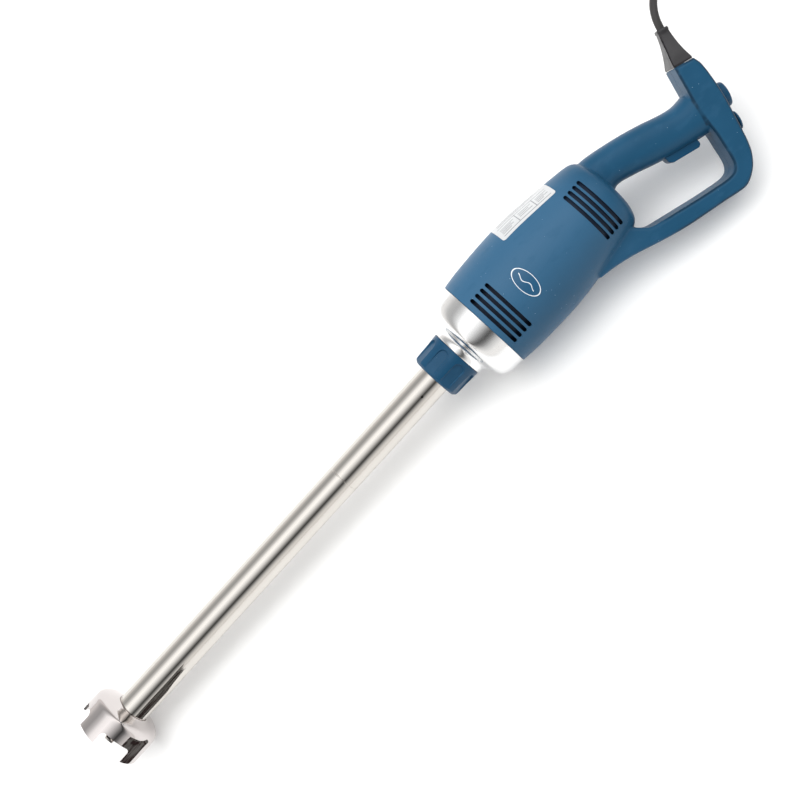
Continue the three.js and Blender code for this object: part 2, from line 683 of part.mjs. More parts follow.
// ---- the lead ----------------------------------------------------------------------
// Where it runs free, on the bench's own axes, z up from the bench.
const CORD_ROUTE = [
  [454.2, 76.4, 96.1], [458.1, 85.3, 99.9], [464.9, 94.6, 101.8], [474.6, 103.6, 100.4],
  [486.5, 112.4, 95], [499, 121.6, 85.6], [511.5, 131.4, 72.6], [523.5, 141.6, 57],
  [535, 151.8, 40.4], [546.5, 161.6, 24.8], [558.5, 170.8, 12.4], [563.2, 173.8, 9.3],
];
const COIL_PLACE = new THREE.Vector3(610, 135, 0);
const COIL_R = 44; // to the middle of its turns
const COIL_HALF_WIDTH = 12;
const COIL_HEIGHT = 15; // two layers
const TIE_WIDTH = 9;
const TIE_THICKNESS = 1.2;
const TIE_ANGLE = 200;
const TAIL = [[658, 98.4, 11.8], [658, 91, 12], [658, 80.6, 12]];
const PLUG_PLACE = new THREE.Vector3(658, 80, 12);

const route = (points) =>
  new THREE.CatmullRomCurve3(points.map((point) => new THREE.Vector3(...point)));

// The outline of the turns where the tie grips them, drawn in by inset on every side.
const gripped = (inset) =>
  roundRect(
    COIL_R,
    COIL_HEIGHT / 2,
    2 * (COIL_HALF_WIDTH - inset),
    COIL_HEIGHT - 2 * inset,
    4,
  );

const standing = (shape, width) =>
  plate(shape, -width / 2, width / 2, 0, 0, 1, 3).rotate([90, 0, TIE_ANGLE]);

function cordTie() {
  const band = gripped(0);
  band.holes.push(gripped(TIE_THICKNESS));
  return standing(band, TIE_WIDTH);
}

function cordCoil() {
  const [inner, outer] = [COIL_R - COIL_HALF_WIDTH, COIL_R + COIL_HALF_WIDTH];
  const profile = [
    [0, inner + 3], [0, outer - 3], [4, outer], [11, outer - 3], [COIL_HEIGHT, outer - 6],
    [COIL_HEIGHT, inner + 6], [11, inner + 3], [4, inner], [0, inner + 3],
  ];
  const points = profile.map(([z, r]) => new THREE.Vector2(r, z));
  const coil = solid(new THREE.LatheGeometry(points, 32).rotateX(Math.PI / 2));
  const notch = standing(gripped(-5), TIE_WIDTH + 2 * GAP);
  const core = standing(gripped(TIE_THICKNESS + GAP), TIE_WIDTH + 8 * GAP);
  return cut(coil, [cut(notch, [core])]);
}

function plugBody() {
  const rings = [
    [0, 5, 5], [-12, 5.6, 5.6], [-14, 9, 8], [-20, 14, 10.6], [-42, 15, 11.6], [-44, 14, 10.8],
  ].map(([y, half, high]) =>
    Array.from({ length: 16 }, (_, i) => {
      const angle = (2 * Math.PI * i) / 16;
      const round = (v) => Math.sign(v) * Math.abs(v) ** 0.6;
      return new THREE.Vector3(half * round(Math.cos(angle)), y, high * round(Math.sin(angle)));
    }),
  );
  return loft(rings);
}

const PLUG_FACE = -44 - GAP;
const plugBlade = (side) =>
  block(side * 6.35 - 0.75, side * 6.35 + 0.75, PLUG_FACE - 16, PLUG_FACE, -3, 3.6);
const plugEarth = () =>
  solid(new THREE.CylinderGeometry(2.4, 2.4, 19, 10).translate(0, PLUG_FACE - 9.5, -6.2));

const lead = new THREE.Group();
blender.add(lead);
add(lead, "power_cord", wire(route(CORD_ROUTE), CORD_R, 22), RUBBER);
add(lead, "cord_tail", wire(route(TAIL), CORD_R, 2), RUBBER);
const coiled = new THREE.Group();
coiled.position.copy(COIL_PLACE);
lead.add(coiled);
add(coiled, "cord_coil", cordCoil(), RUBBER);
add(coiled, "cord_tie", cordTie(), BLACK);
const plug = new THREE.Group();
plug.position.copy(PLUG_PLACE);
lead.add(plug);
add(plug, "plug_body", plugBody(), RUBBER);
add(plug, "plug_blade_live", plugBlade(1), BRASS);
add(plug, "plug_blade_neutral", plugBlade(-1), BRASS);
add(plug, "plug_earth_pin", plugEarth(), BRASS);

export default blender;
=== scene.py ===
"""A heavy-duty immersion blender on a pale bench: blue casing with a loop handle, polished
nose casting, fluted locking collar, long bright shaft with a bell guard, and a coiled lead."""
import json
import math

import bmesh
import bpy
import numpy as np
from mathutils import Matrix, Vector
from mathutils.bvhtree import BVHTree


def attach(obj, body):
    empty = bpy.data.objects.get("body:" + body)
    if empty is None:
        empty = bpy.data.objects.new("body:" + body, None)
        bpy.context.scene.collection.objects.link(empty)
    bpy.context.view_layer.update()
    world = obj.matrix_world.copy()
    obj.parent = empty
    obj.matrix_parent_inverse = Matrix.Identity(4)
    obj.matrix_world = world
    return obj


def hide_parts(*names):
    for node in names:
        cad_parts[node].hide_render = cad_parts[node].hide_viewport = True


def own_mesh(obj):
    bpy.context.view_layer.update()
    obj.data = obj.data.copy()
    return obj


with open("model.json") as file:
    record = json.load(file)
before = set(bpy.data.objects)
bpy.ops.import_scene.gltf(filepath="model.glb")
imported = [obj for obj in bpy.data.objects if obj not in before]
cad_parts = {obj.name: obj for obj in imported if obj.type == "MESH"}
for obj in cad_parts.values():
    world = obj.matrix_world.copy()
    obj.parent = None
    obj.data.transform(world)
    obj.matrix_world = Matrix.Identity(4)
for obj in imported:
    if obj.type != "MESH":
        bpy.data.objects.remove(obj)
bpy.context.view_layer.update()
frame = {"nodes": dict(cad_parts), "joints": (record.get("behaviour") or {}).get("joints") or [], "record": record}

MM = 0.001
PRINT = "print"  # the name of the films' own coordinates
JOINTS = {joint["name"]: joint for joint in frame["joints"]}

# ---- the tool's own axes, taken from its joints ------------------------------------------
# x runs from the rim of the bell to the handle, y up through the grip, z to the left half.
ALONG = Vector(JOINTS["blade_spin"]["axis"]).normalized()
LEFTWARD = Vector(JOINTS["trigger_pull"]["axis"]).normalized()
UPWARD = LEFTWARD.cross(ALONG)
TOOL = Matrix.Translation(JOINTS["blade_spin"]["pos_m"]) @ Matrix(
    (ALONG, UPWARD, LEFTWARD)
).transposed().to_4x4()
BENCH = Matrix.Identity(4)


def in_tool(point):
    """A point in the row frame, in metres, as millimetres on the tool's own axes."""
    return TOOL.inverted() @ point / MM


# ---- camera ------------------------------------------------------------------------------
CAMERA_PLACE = Vector((0.08113, -0.45941, 1.28824))
CAMERA_RIGHT = Vector((0.679768, -0.667900, -0.303038))
CAMERA_UP = Vector((0.731412, 0.647970, 0.212553))
CAMERA_LENS = 58.5


def make_camera():
    data = bpy.data.cameras.new("camera")
    data.lens = CAMERA_LENS
    data.sensor_width = 36
    data.clip_start = 0.01
    camera = bpy.data.objects.new("camera", data)
    bpy.context.scene.collection.objects.link(camera)
    turn = Matrix((CAMERA_RIGHT, CAMERA_UP, CAMERA_RIGHT.cross(CAMERA_UP))).transposed()
    camera.matrix_world = Matrix.Translation(CAMERA_PLACE) @ turn.to_4x4()
    bpy.context.scene.camera = camera


make_camera()


# ---- shader maths ------------------------------------------------------------------------
class Value:
    """A number that varies over a surface: a socket that can stand in a sum."""

    def __init__(self, finish, socket):
        self.finish = finish
        self.socket = socket

    def maths(self, operation, *parts):
        """What one Math node makes of the parts."""
        sockets = dict(enumerate(parts))
        made = self.finish.node("ShaderNodeMath", {"operation": operation}, sockets)
        return Value(self.finish, made.outputs[0])

    def __add__(self, other):
        return self.maths("ADD", self, other)

    def __radd__(self, other):
        return self.maths("ADD", other, self)

    def __sub__(self, other):
        return self.maths("SUBTRACT", self, other)

    def __rsub__(self, other):
        return self.maths("SUBTRACT", other, self)

    def __mul__(self, other):
        return self.maths("MULTIPLY", self, other)

    def __rmul__(self, other):
        return self.maths("MULTIPLY", other, self)

    def __truediv__(self, other):
        return self.maths("DIVIDE", self, other)

    def __rtruediv__(self, other):
        return self.maths("DIVIDE", other, self)

    def __gt__(self, other):
        return self.maths("GREATER_THAN", self, other)

    def __lt__(self, other):
        return self.maths("LESS_THAN", self, other)

    def wave(self):
        return self.maths("SINE", self)

    def size(self):
        return self.maths("ABSOLUTE", self)

    def root(self):
        return self.maths("SQRT", self)

    def larger(self, other):
        return self.maths("MAXIMUM", self, other)

    def angle_over(self, other):
        return self.maths("ARCTAN2", self, other)

    def ramp(self, low, high):
        """0 below low, 1 above high, smooth between; high may be the smaller."""
        made = self.finish.node(
            "ShaderNodeMapRange",
            {"interpolation_type": "SMOOTHSTEP"},
            {"Value": self, "From Min": low, "From Max": high},
        )
        return Value(self.finish, made.outputs["Result"])


class Finish:
    """One node tree, a material's or the world's, and what is plugged into it."""

    def __init__(self, name, owner=None):
        self.owner = owner or bpy.data.materials.new(name)
        self.owner.use_nodes = True
        self.tree = self.owner.node_tree
        self.tree.nodes.clear()

    def node(self, kind, settings=None, sockets=None):
        """A new node: its settings first, then its sockets' values or links."""
        made = self.tree.nodes.new(kind)
        for name, value in (settings or {}).items():
            if name == "stops":
                while len(made.color_ramp.elements) < len(value):
                    made.color_ramp.elements.new(0.5)
                for element, (place, shade) in zip(made.color_ramp.elements, value):
                    element.position = place
                    element.color = (*shade, 1)
            else:
                setattr(made, name, value)
        for name, value in (sockets or {}).items():
            socket = made.inputs[name]
            if isinstance(value, Value):
                self.tree.links.new(value.socket, socket)
            elif isinstance(value, bpy.types.NodeSocket):
                self.tree.links.new(value, socket)
            elif socket.type == "RGBA" and len(value) == 3:
                socket.default_value = (*value, 1)
            else:
                socket.default_value = value
        return made

    def place(self, stretch=(1, 1, 1)):
        """Where a point is on the tool's own axes, in millimetres, stretched as asked."""
        along_tool = self.node(
            "ShaderNodeMapping",
            {"vector_type": "TEXTURE"},
            {
                "Vector": self.node("ShaderNodeTexCoord").outputs["Object"],
                "Location": TOOL.translation,
                "Rotation": TOOL.to_euler(),
                "Scale": (MM, MM, MM),
            },
        ).outputs[0]
        return self.node(
            "ShaderNodeVectorMath", {"operation": "MULTIPLY"}, {0: along_tool, 1: stretch}
        ).outputs[0]

    def parts(self, vector):
        """The three numbers of a vector."""
        made = self.node("ShaderNodeSeparateXYZ", None, {0: vector})
        return [Value(self, socket) for socket in made.outputs]

    def axes(self):
        """The three coordinates of a point on the tool's own axes, in millimetres."""
        return self.parts(self.place())

    def printed(self):
        """Where a point is along and across a film, as barrel_patch laid it out."""
        along, across, _ = self.parts(self.node("ShaderNodeUVMap", {"uv_map": PRINT}).outputs[0])
        return along, across

    def noise(self, pitch, detail=2.0, stretch=(1, 1, 1)):
        """Cloudy variation from 0 to 1, about pitch millimetres from lump to lump."""
        made = self.node(
            "ShaderNodeTexNoise",
            None,
            {"Vector": self.place(stretch), "Scale": 1 / pitch, "Detail": detail, "Roughness": 0.5},
        )
        return Value(self, made.outputs[0])

    def cells(self, pitch):
        """Distance to the nearest of many scattered points, in parts of the pitch."""
        made = self.node(
            "ShaderNodeTexVoronoi", None, {"Vector": self.place(), "Scale": 1 / pitch}
        )
        return Value(self, made.outputs["Distance"])

    def blend(self, first, second, factor):
        """From the first colour to the second as factor goes from 0 to 1."""
        made = self.node(
            "ShaderNodeMix", {"data_type": "RGBA"}, {0: factor, 6: first, 7: second}
        )
        return made.outputs[2]

    def bump(self, height, depth):
        """A normal from a height of 0 to 1 that stands depth millimetres high."""
        return self.node(
            "ShaderNodeBump", None, {"Strength": 1.0, "Distance": depth * MM, "Height": height}
        ).outputs[0]

    def surface(self, **sockets):
        """The finished material, with what is given plugged into its shader."""
        named = {name.replace("_", " "): value for name, value in sockets.items()}
        shader = self.node("ShaderNodeBsdfPrincipled", None, named)
        self.node("ShaderNodeOutputMaterial", None, {"Surface": shader.outputs[0]})
        return self.owner


def paint(red, green, blue):
    """A colour given as it looks, 0 to 255, turned into light."""
    return tuple(
        (v / 255 / 12.92) if v <= 10 else ((v / 255 + 0.055) / 1.055) ** 2.4
        for v in (red, green, blue)
    )


def toned(shade, by, lift=0.0):
    """A colour made brighter or darker, and lifted towards grey."""
    return tuple(by * c + lift for c in shade)


# ---- finishes ----------------------------------------------------------------------------
# The haze argument sets the painted sheen on the barrel, the edges argument the painted shade on the rounded
# edges.
def moulded_blue(name, shade, specks=1.0, rough=0.4, painted_sheen=0.65, edges=0.9):
    """Satin moulded plastic: spark texture, cloudy tone, pale specks and rubbed patches. The
    barrel carries a painted sheen, lighter towards its top, and the rounded edges of head and
    guard carry painted shade, darker."""
    f = Finish(name)
    cloud = f.noise(38, 3)
    spark = f.noise(0.9, 2)
    rub = f.noise(9, 4, stretch=(0.5, 1, 1)).ramp(0.52, 0.72)
    dots = f.cells(5.5).ramp(0.075, 0.045) * f.noise(14, 1).ramp(0.48, 0.6) * specks
    x, y, z = f.axes()
    clouded = f.blend(toned(shade, 0.86), toned(shade, 1.13, 0.004), cloud)
    # Painted sheen: the barrel is made lighter towards its top, where the light falls on it.
    barrel = x.ramp(775, 715) * (0.3 + 0.7 * y.ramp(-45, 5))
    with_painted_sheen = f.blend(clouded, toned(shade, 1.5, 0.035), barrel * painted_sheen)
    # Painted shade: the rounded edges of the head and the guard are made darker, by the edges amount.
    rounding = z.size().ramp(18.8, 20.4) * z.size().ramp(22.9, 22.2)
    head = (x - 0.26 * y).ramp(878.5, 880.5)
    guard = y.ramp(-44, -50) * x.ramp(770, 790)
    edge = rounding * head.larger(guard)
    with_painted_edge_shade = f.blend(with_painted_sheen, toned(shade, 0.4), edge * edges)
    worn = f.blend(with_painted_edge_shade, toned(shade, 1.2, 0.012), rub * 0.35)
    colour = f.blend(worn, paint(150, 180, 205), dots * 0.7)
    return f.surface(
        Base_Color=colour,
        Roughness=rough + 0.1 * (spark - 0.5) + 0.07 * rub,
        Normal=f.bump(spark + 0.35 * f.noise(0.35, 1), 0.035),
        Specular_IOR_Level=0.2,
    )


def steel_bright(name="stainless", shade=(0.68, 0.65, 0.61), rough=0.06):
    """Mirror-polished stainless steel with faint polishing lines and handling marks."""
    f = Finish(name)
    lines = f.noise(0.35, 2, stretch=(0.02, 1, 1))
    smear = f.noise(16, 3, stretch=(0.35, 1, 1))
    marks = f.noise(3.2, 5).ramp(0.6, 0.78)
    tone = f.blend(shade, toned(shade, 0.93), smear)
    return f.surface(
        Base_Color=tone,
        Metallic=1.0,
        Roughness=rough + 0.05 * smear + 0.05 * marks,
        Normal=f.bump(lines + 0.5 * smear, 0.004),
    )


def cast_bright():
    """Polished cast aluminium, with the rings of the turning just visible."""
    f = Finish("cast_aluminium")
    x, _, _ = f.axes()
    rings = (x * 9.0 + 1.6 * f.noise(4, 2)).wave() * 0.5 + 0.5
    smear = f.noise(11, 3)
    pits = f.noise(1.3, 4).ramp(0.66, 0.8)
    tone = f.blend((0.88, 0.88, 0.875), (0.82, 0.82, 0.82), smear)
    return f.surface(
        Base_Color=f.blend(tone, (0.5, 0.5, 0.5), pits * 0.5),
        Metallic=1.0,
        Roughness=0.12 + 0.08 * smear + 0.12 * pits,
        Normal=f.bump(rings * 0.5 + f.noise(0.6, 2), 0.006),
    )


def plain_metal(name, shade, rough, grain=0.4, stretch=(1, 1, 1)):
    """Machined or drawn metal: fine grain, duller patches."""
    f = Finish(name)
    lines = f.noise(grain, 3, stretch=stretch)
    patch = f.noise(7, 3)
    tone = f.blend(shade, toned(shade, 0.72), patch)
    return f.surface(
        Base_Color=tone,
        Metallic=1.0,
        Roughness=rough + 0.14 * patch + 0.06 * lines,
        Normal=f.bump(lines, 0.01),
    )


SHEET = 0.9  # thickness of one sheet of the iron stacks
WIRE = 1.3  # from one turn of the windings to the next


def laminated_iron():
    """A stack of thin electrical steel sheets, oiled and a little rusty."""
    f = Finish("laminated_iron")
    x, _, _ = f.axes()
    sheets = (x * (2 * math.pi / SHEET)).wave() * 0.5 + 0.5
    rust = f.noise(6, 5).ramp(0.55, 0.75)
    tone = f.blend((0.16, 0.165, 0.175), (0.3, 0.3, 0.31), sheets)
    return f.surface(
        Base_Color=f.blend(tone, (0.2, 0.1, 0.05), rust * 0.4),
        Metallic=0.85,
        Roughness=0.42 + 0.2 * rust,
        Normal=f.bump(sheets, 0.05),
    )


def wound_copper():
    """Enamelled copper wire laid side by side."""
    f = Finish("wound_copper")
    _, y, z = f.axes()
    lay = ((y + z) * (2 * math.pi / WIRE) + 0.8 * f.noise(5, 1)).wave() * 0.5 + 0.5
    tone = f.blend((0.26, 0.085, 0.03), (0.62, 0.27, 0.11), lay)
    return f.surface(
        Base_Color=f.blend(tone, (0.35, 0.2, 0.09), f.noise(9, 3)),
        Metallic=0.9,
        Roughness=0.3 + 0.15 * f.noise(3, 3),
        Normal=f.bump(lay, 0.25),
    )


def soft_rubber(name, shade, rough):
    """Moulded rubber: fine matt skin with dusty, paler patches."""
    f = Finish(name)
    dust = f.noise(12, 4).ramp(0.45, 0.75)
    skin = f.noise(0.5, 3)
    tone = f.blend(shade, toned(shade, 1.35, 0.01), dust * 0.6)
    return f.surface(
        Base_Color=f.blend(tone, toned(shade, 0.8), f.noise(2.5, 2) * 0.4),
        Roughness=rough + 0.12 * dust + 0.06 * skin,
        Normal=f.bump(skin, 0.03),
    )


def moulded_plain(name, shade, rough=0.45):
    """Plain moulded plastic for the working parts."""
    f = Finish(name)
    cloud = f.noise(8, 4)
    skin = f.noise(0.6, 2)
    return f.surface(
        Base_Color=f.blend(toned(shade, 0.82), shade, cloud),
        Roughness=rough + 0.12 * (cloud - 0.5) + 0.05 * skin,
        Normal=f.bump(skin, 0.02),
    )


def circuit_board():
    """Green solder resist over copper tracks."""
    f = Finish("circuit_board")
    x, _, _ = f.axes()
    tracks = ((x * 2.2).wave() > 0.72) * (f.noise(6, 1) > 0.45)
    tone = f.blend((0.012, 0.11, 0.05), (0.02, 0.16, 0.075), f.noise(4, 3))
    return f.surface(
        Base_Color=f.blend(tone, (0.05, 0.26, 0.12), tracks),
        Roughness=0.32 + 0.1 * f.noise(2, 2),
        Normal=f.bump(tracks, 0.06),
    )


# Middle along the tool and round the barrel in degrees, then half length and half width.
LABEL = (690, -69, 35, 18.2)
BADGE = (639.2, -3.1, 9.4, 18.5)
LABEL_CORNER = 6
# Plain printed bars: place across the label, half length, and middle along it.
LABEL_BARS = [
    (-14, 29, 0), (-11.5, 24, -5), (-9, 27, -2), (-6.5, 18, -11), (-2, 31, 0), (3, 9, -21),
    (5.5, 7, -23), (8, 8, -22), (10.5, 6, -24), (3, 8, 2), (6, 6, 0), (9, 8, 2),
    (3, 7, 23), (5.5, 5, 21), (8, 7, 23), (10.5, 4, 20), (14, 31, 0),
]
LABEL_RULES = (-9, 13)  # where the two short lines across the table stand


def printed_label():
    """White film with a plain ruled table: no words."""
    f = Finish("printed_label")
    u, v = f.printed()

    def rule(value, place):
        return (value - place).size().ramp(0.57, 0.42)

    bars = 0.0
    for place, reach, middle in LABEL_BARS:
        bars = bars + rule(v, place) * ((u - middle).size() < reach)
    for place in LABEL_RULES:
        bars = bars + rule(u, place) * ((v - 6).size() < 8)
    ink = bars.ramp(0, 1)
    paper = f.blend((0.56, 0.57, 0.58), (0.64, 0.65, 0.66), f.noise(14, 3))
    stain = f.noise(5, 4).ramp(0.6, 0.85) * 0.25
    aged = f.blend(paper, (0.6, 0.6, 0.58), stain)
    return f.surface(
        Base_Color=f.blend(aged, (0.2, 0.21, 0.23), ink * 0.85),
        Roughness=0.34 + 0.12 * f.noise(3, 2),
        Normal=f.bump(f.noise(2.2, 2), 0.02),
        Coat_Weight=0.15,
    )


def badge_film():
    """Clear film over the blue, with a thin white oval and one plain ripple inside it."""
    f = Finish("badge_film")
    u, v = f.printed()
    reach = (u * u + v * v).root()
    oval_line = (reach - 0.94).size().ramp(0.042, 0.022)
    ripple = (u - 0.16 * (v * 7.5).wave()).size().ramp(0.055, 0.03) * (v.size() < 0.62)
    line = (oval_line + ripple).ramp(0, 1)
    film = f.blend(paint(26, 78, 112), paint(31, 84, 119), f.noise(9, 2))
    return f.surface(
        Base_Color=f.blend(film, (0.8, 0.84, 0.88), line),
        Roughness=0.3 + 0.08 * f.noise(4, 2),
        Normal=f.bump(f.noise(1.5, 1), 0.01),
    )


def woven_strap():
    """Black woven tape."""
    f = Finish("woven_strap")
    x, y, z = f.axes()
    weave = (x * 5.2).wave() * (y * 5.2 + z * 5.2).wave() * 0.5 + 0.5
    tone = f.blend((0.012, 0.012, 0.013), (0.05, 0.05, 0.054), weave)
    return f.surface(
        Base_Color=f.blend(tone, (0.07, 0.07, 0.07), f.noise(4, 4).ramp(0.5, 0.8)),
        Roughness=0.8 + 0.1 * weave,
        Normal=f.bump(weave, 0.25),
    )


FINISHES = {
    "blue_plastic": moulded_blue("blue_plastic", paint(23, 74, 105)),
    "collar_plastic": moulded_blue(
        "collar_plastic", paint(19, 68, 99), specks=0.3, rough=0.32, painted_sheen=0, edges=0
    ),
    "grey_rubber": soft_rubber("grey_rubber", paint(44, 43, 45), 0.3),
    "cord_rubber": soft_rubber("cord_rubber", paint(50, 48, 48), 0.46),
    "label": printed_label(),
    "badge": badge_film(),
    "cast_aluminium": cast_bright(),
    "stainless": steel_bright(),
    "screw_steel": plain_metal("screw_steel", (0.62, 0.62, 0.63), 0.3),
    "iron": laminated_iron(),
    "copper": wound_copper(),
    "brass": plain_metal("brass", (0.78, 0.56, 0.24), 0.24, 0.5, (1, 0.1, 0.1)),
    "black_plastic": moulded_plain("black_plastic", (0.022, 0.022, 0.024)),
    "board": circuit_board(),
    "nylon": moulded_plain("nylon", (0.66, 0.62, 0.52), 0.4),
}
STRAP = woven_strap()
MIRROR = steel_bright("mirror_steel", (0.65, 0.61, 0.6), 0.02)
# Painted shade: a darker copy of the blue plastic for the unlit inside of the casing.
PAINTED_SHADE_INSIDE = moulded_plain("casing_inside_painted_shade", (0.003, 0.013, 0.035), 0.6)


# ---- shapes: vertices and faces, in millimetres ------------------------------------------
def smooth_run(points, spacing):
    """Points about spacing apart on a smooth curve through the given ones."""
    p = np.array(points, float)
    gaps = np.linalg.norm(np.diff(p, axis=0), axis=1)
    if len(p) == 2:
        return np.linspace(*p, max(1, round(gaps[0] / spacing)) + 1)
    slopes = np.empty_like(p)
    slopes[1:-1] = (p[2:] - p[:-2]) / (gaps[1:] + gaps[:-1])[:, None]
    slopes[0] = 1.5 * (p[1] - p[0]) / gaps[0] - 0.5 * slopes[1]
    slopes[-1] = 1.5 * (p[-1] - p[-2]) / gaps[-1] - 0.5 * slopes[-2]
    run = [p[:1]]
    for i, gap in enumerate(gaps):
        t = np.linspace(0, 1, max(1, round(gap / spacing)) + 1)[1:, None]
        start = (2 * t**3 - 3 * t**2 + 1) * p[i] + (t**3 - 2 * t**2 + t) * gap * slopes[i]
        end = (3 * t**2 - 2 * t**3) * p[i + 1] + (t**3 - t**2) * gap * slopes[i + 1]
        run.append(start + end)
    return np.concatenate(run)


def runs(*parts, spacing=1.0):
    """Smooth runs joined at their ends, where the outline keeps a corner."""
    made = [smooth_run(part, spacing) for part in parts]
    return np.concatenate([made[0], *[run[1:] for run in made[1:]]])


def turned(profile, segments):
    """A solid turned about x, from [x, radius] pairs: on the axis at both ends, or closed."""
    profile = np.array(profile, float)
    closed = np.allclose(profile[0], profile[-1])
    if closed:
        profile = profile[:-1]
    angles = np.arange(segments) * 2 * math.pi / segments
    vertices, rows = [], []
    for x, r in profile:
        if r < 1e-6:
            rows.append([len(vertices)] * segments)
            vertices.append((x, 0, 0))
        else:
            rows.append(list(range(len(vertices), len(vertices) + segments)))
            vertices += [(x, r * math.cos(a), r * math.sin(a)) for a in angles]
    faces = []
    pairs = list(zip(rows, rows[1:])) + ([(rows[-1], rows[0])] if closed else [])
    for a, b in pairs:
        for i in range(segments):
            j = (i + 1) % segments
            corners = dict.fromkeys((a[i], a[j], b[j], b[i]))
            if len(corners) > 2:
                faces.append(list(corners))
    return np.array(vertices), faces


def loft(rings):
    """A closed skin through rings of equal count, with a flat face on each end."""
    count = len(rings[0])
    faces = [list(range(count)), [(len(rings) - 1) * count + i for i in range(count)]]
    for row in range(len(rings) - 1):
        for i in range(count):
            a, b = row * count + i, row * count + (i + 1) % count
            faces.append([a, b, b + count, a + count])
    return np.concatenate([np.array(ring, float) for ring in rings]), faces


def inset(outline, by):
    """An outline drawn in on every side; it runs anticlockwise."""
    ahead = np.roll(outline, -1, 0) - outline
    ahead /= np.linalg.norm(ahead, axis=1)[:, None]
    behind = np.roll(ahead, 1, 0)
    inward = np.stack([-ahead[:, 1] - behind[:, 1], ahead[:, 0] + behind[:, 0]], 1)
    inward /= np.linalg.norm(inward, axis=1)[:, None]
    slant = np.clip(-inward[:, 0] * ahead[:, 1] + inward[:, 1] * ahead[:, 0], 0.5, 1)
    return outline + inward * (by / slant)[:, None]


def anticlockwise(outline):
    """An outline without a repeated end, in the order that inset takes."""
    outline = np.array(outline, float)
    if np.allclose(outline[0], outline[-1]):
        outline = outline[:-1]
    x, y = outline.T
    turning = np.sum(x * np.roll(y, -1) - np.roll(x, -1) * y)
    return outline if turning > 0 else outline[::-1]


def plate(outline, low, high, rounding=0.0, steps=5):
    """An outline in the x-y plane made solid from low to high, its edges rounded over."""
    outline = anticlockwise(outline)
    turns = np.linspace(0, math.pi / 2, steps + 1) if rounding else [math.pi / 2]
    edges = [(rounding * (1 - math.sin(t)), rounding * (1 - math.cos(t))) for t in turns]
    levels = [(draw, low + rise) for draw, rise in edges]
    levels += [(draw, high - rise) for draw, rise in reversed(edges)]
    return loft([
        np.column_stack([inset(outline, draw), np.full(len(outline), z)]) for draw, z in levels
    ])


def round_rect(x, y, width, height, radius, steps=6):
    """The outline of a rectangle centred on (x, y) with rounded corners."""
    points = []
    for k in range(4):
        middle = (k + 0.5) * math.pi / 2
        cx = x + math.copysign(width / 2 - radius, math.cos(middle))
        cy = y + math.copysign(height / 2 - radius, math.sin(middle))
        for t in np.linspace(k, k + 1, steps + 1) * math.pi / 2:
            points.append((cx + radius * math.cos(t), cy + radius * math.sin(t)))
    return np.array(points)


def oval(x, y, half_x, half_y, count):
    turns = np.arange(count) * 2 * math.pi / count
    return np.column_stack([x + half_x * np.cos(turns), y + half_y * np.sin(turns)])


def squarish(half_x, half_y, power, count):
    """Points round an oval that is fuller at its corners the higher the power is."""
    turns = np.arange(count) * 2 * math.pi / count
    c, s = np.cos(turns), np.sin(turns)
    x = half_x * np.sign(c) * np.abs(c) ** (2 / power)
    y = half_y * np.sign(s) * np.abs(s) ** (2 / power)
    return x, y


def moved(shape, turn=Matrix.Identity(3), shift=(0, 0, 0)):
    vertices, faces = shape
    return vertices @ np.array(turn).T + np.array(shift), faces


def about_x(degrees):
    return Matrix.Rotation(math.radians(degrees), 3, "X")


def about_z(degrees):
    return Matrix.Rotation(math.radians(degrees), 3, "Z")


def together(shapes):
    """Separate shapes as one list of vertices and faces."""
    vertices, faces = [], []
    for points, sides in shapes:
        start = sum(len(v) for v in vertices)
        faces += [[start + i for i in side] for side in sides]
        vertices.append(points)
    return np.concatenate(vertices), faces


def post(x, y, low, high, radius, count=24):
    """A rod along z."""
    return plate(oval(x, y, radius, radius, count), low, high)


def block(x0, x1, y0, y1, z0, z1):
    return plate([(x0, y0), (x1, y0), (x1, y1), (x0, y1)], z0, z1)


def rod(start, end, radius, segments=32):
    return turned([(start, 0), (start, radius), (end, radius), (end, 0)], segments)


# ---- Blender objects ---------------------------------------------------------------------
def solid(name, shape, place=TOOL):
    vertices, faces = shape
    mesh = bpy.data.meshes.new(name)
    mesh.from_pydata((np.array(vertices) * MM).tolist(), [], faces)
    made = bmesh.new()
    made.from_mesh(mesh)
    ends = [face for face in made.faces if len(face.verts) > 4]
    bmesh.ops.triangulate(made, faces=ends, ngon_method="EAR_CLIP")
    bmesh.ops.recalc_face_normals(made, faces=made.faces)
    made.to_mesh(mesh)
    made.free()
    obj = bpy.data.objects.new(name, mesh)
    bpy.context.scene.collection.objects.link(obj)
    obj.matrix_world = place
    return obj


def discard(obj):
    mesh = obj.data
    bpy.data.objects.remove(obj)
    bpy.data.meshes.remove(mesh)


def settle(obj):
    """Makes what the modifiers give the object's own mesh."""
    bpy.context.view_layer.update()
    graph = bpy.context.evaluated_depsgraph_get()
    made = bpy.data.meshes.new_from_object(obj.evaluated_get(graph))
    obj.modifiers.clear()
    old = obj.data
    obj.data = made
    bpy.data.meshes.remove(old)
    return obj


def combine(obj, shape, operation="DIFFERENCE"):
    """Cuts a shape away from an object, joins it on, or keeps what both hold."""
    tool = solid("tool", shape, obj.matrix_world)
    modifier = obj.modifiers.new("combine", "BOOLEAN")
    modifier.operation = operation
    modifier.solver = "MANIFOLD"
    modifier.object = tool
    settle(obj)
    discard(tool)
    if not obj.data.polygons:
        raise ValueError(f"{obj.name} has nothing left")


def modify(obj, kind, **settings):
    modifier = obj.modifiers.new(kind.lower(), kind)
    for name, value in settings.items():
        setattr(modifier, name, value)
    return settle(obj)


def remeshed(obj, voxel, passes):
    """An even skin with its edges softened."""
    modify(obj, "REMESH", mode="VOXEL", voxel_size=voxel * MM)
    modify(obj, "SMOOTH", factor=0.5, iterations=passes)


def bevelled(obj, width):
    """Rounds the sharp edges of an object by a small width."""
    modify(
        obj,
        "BEVEL",
        width=width * MM,
        segments=2,
        limit_method="ANGLE",
        angle_limit=math.radians(25),
        harden_normals=False,
        use_clamp_overlap=True,
    )


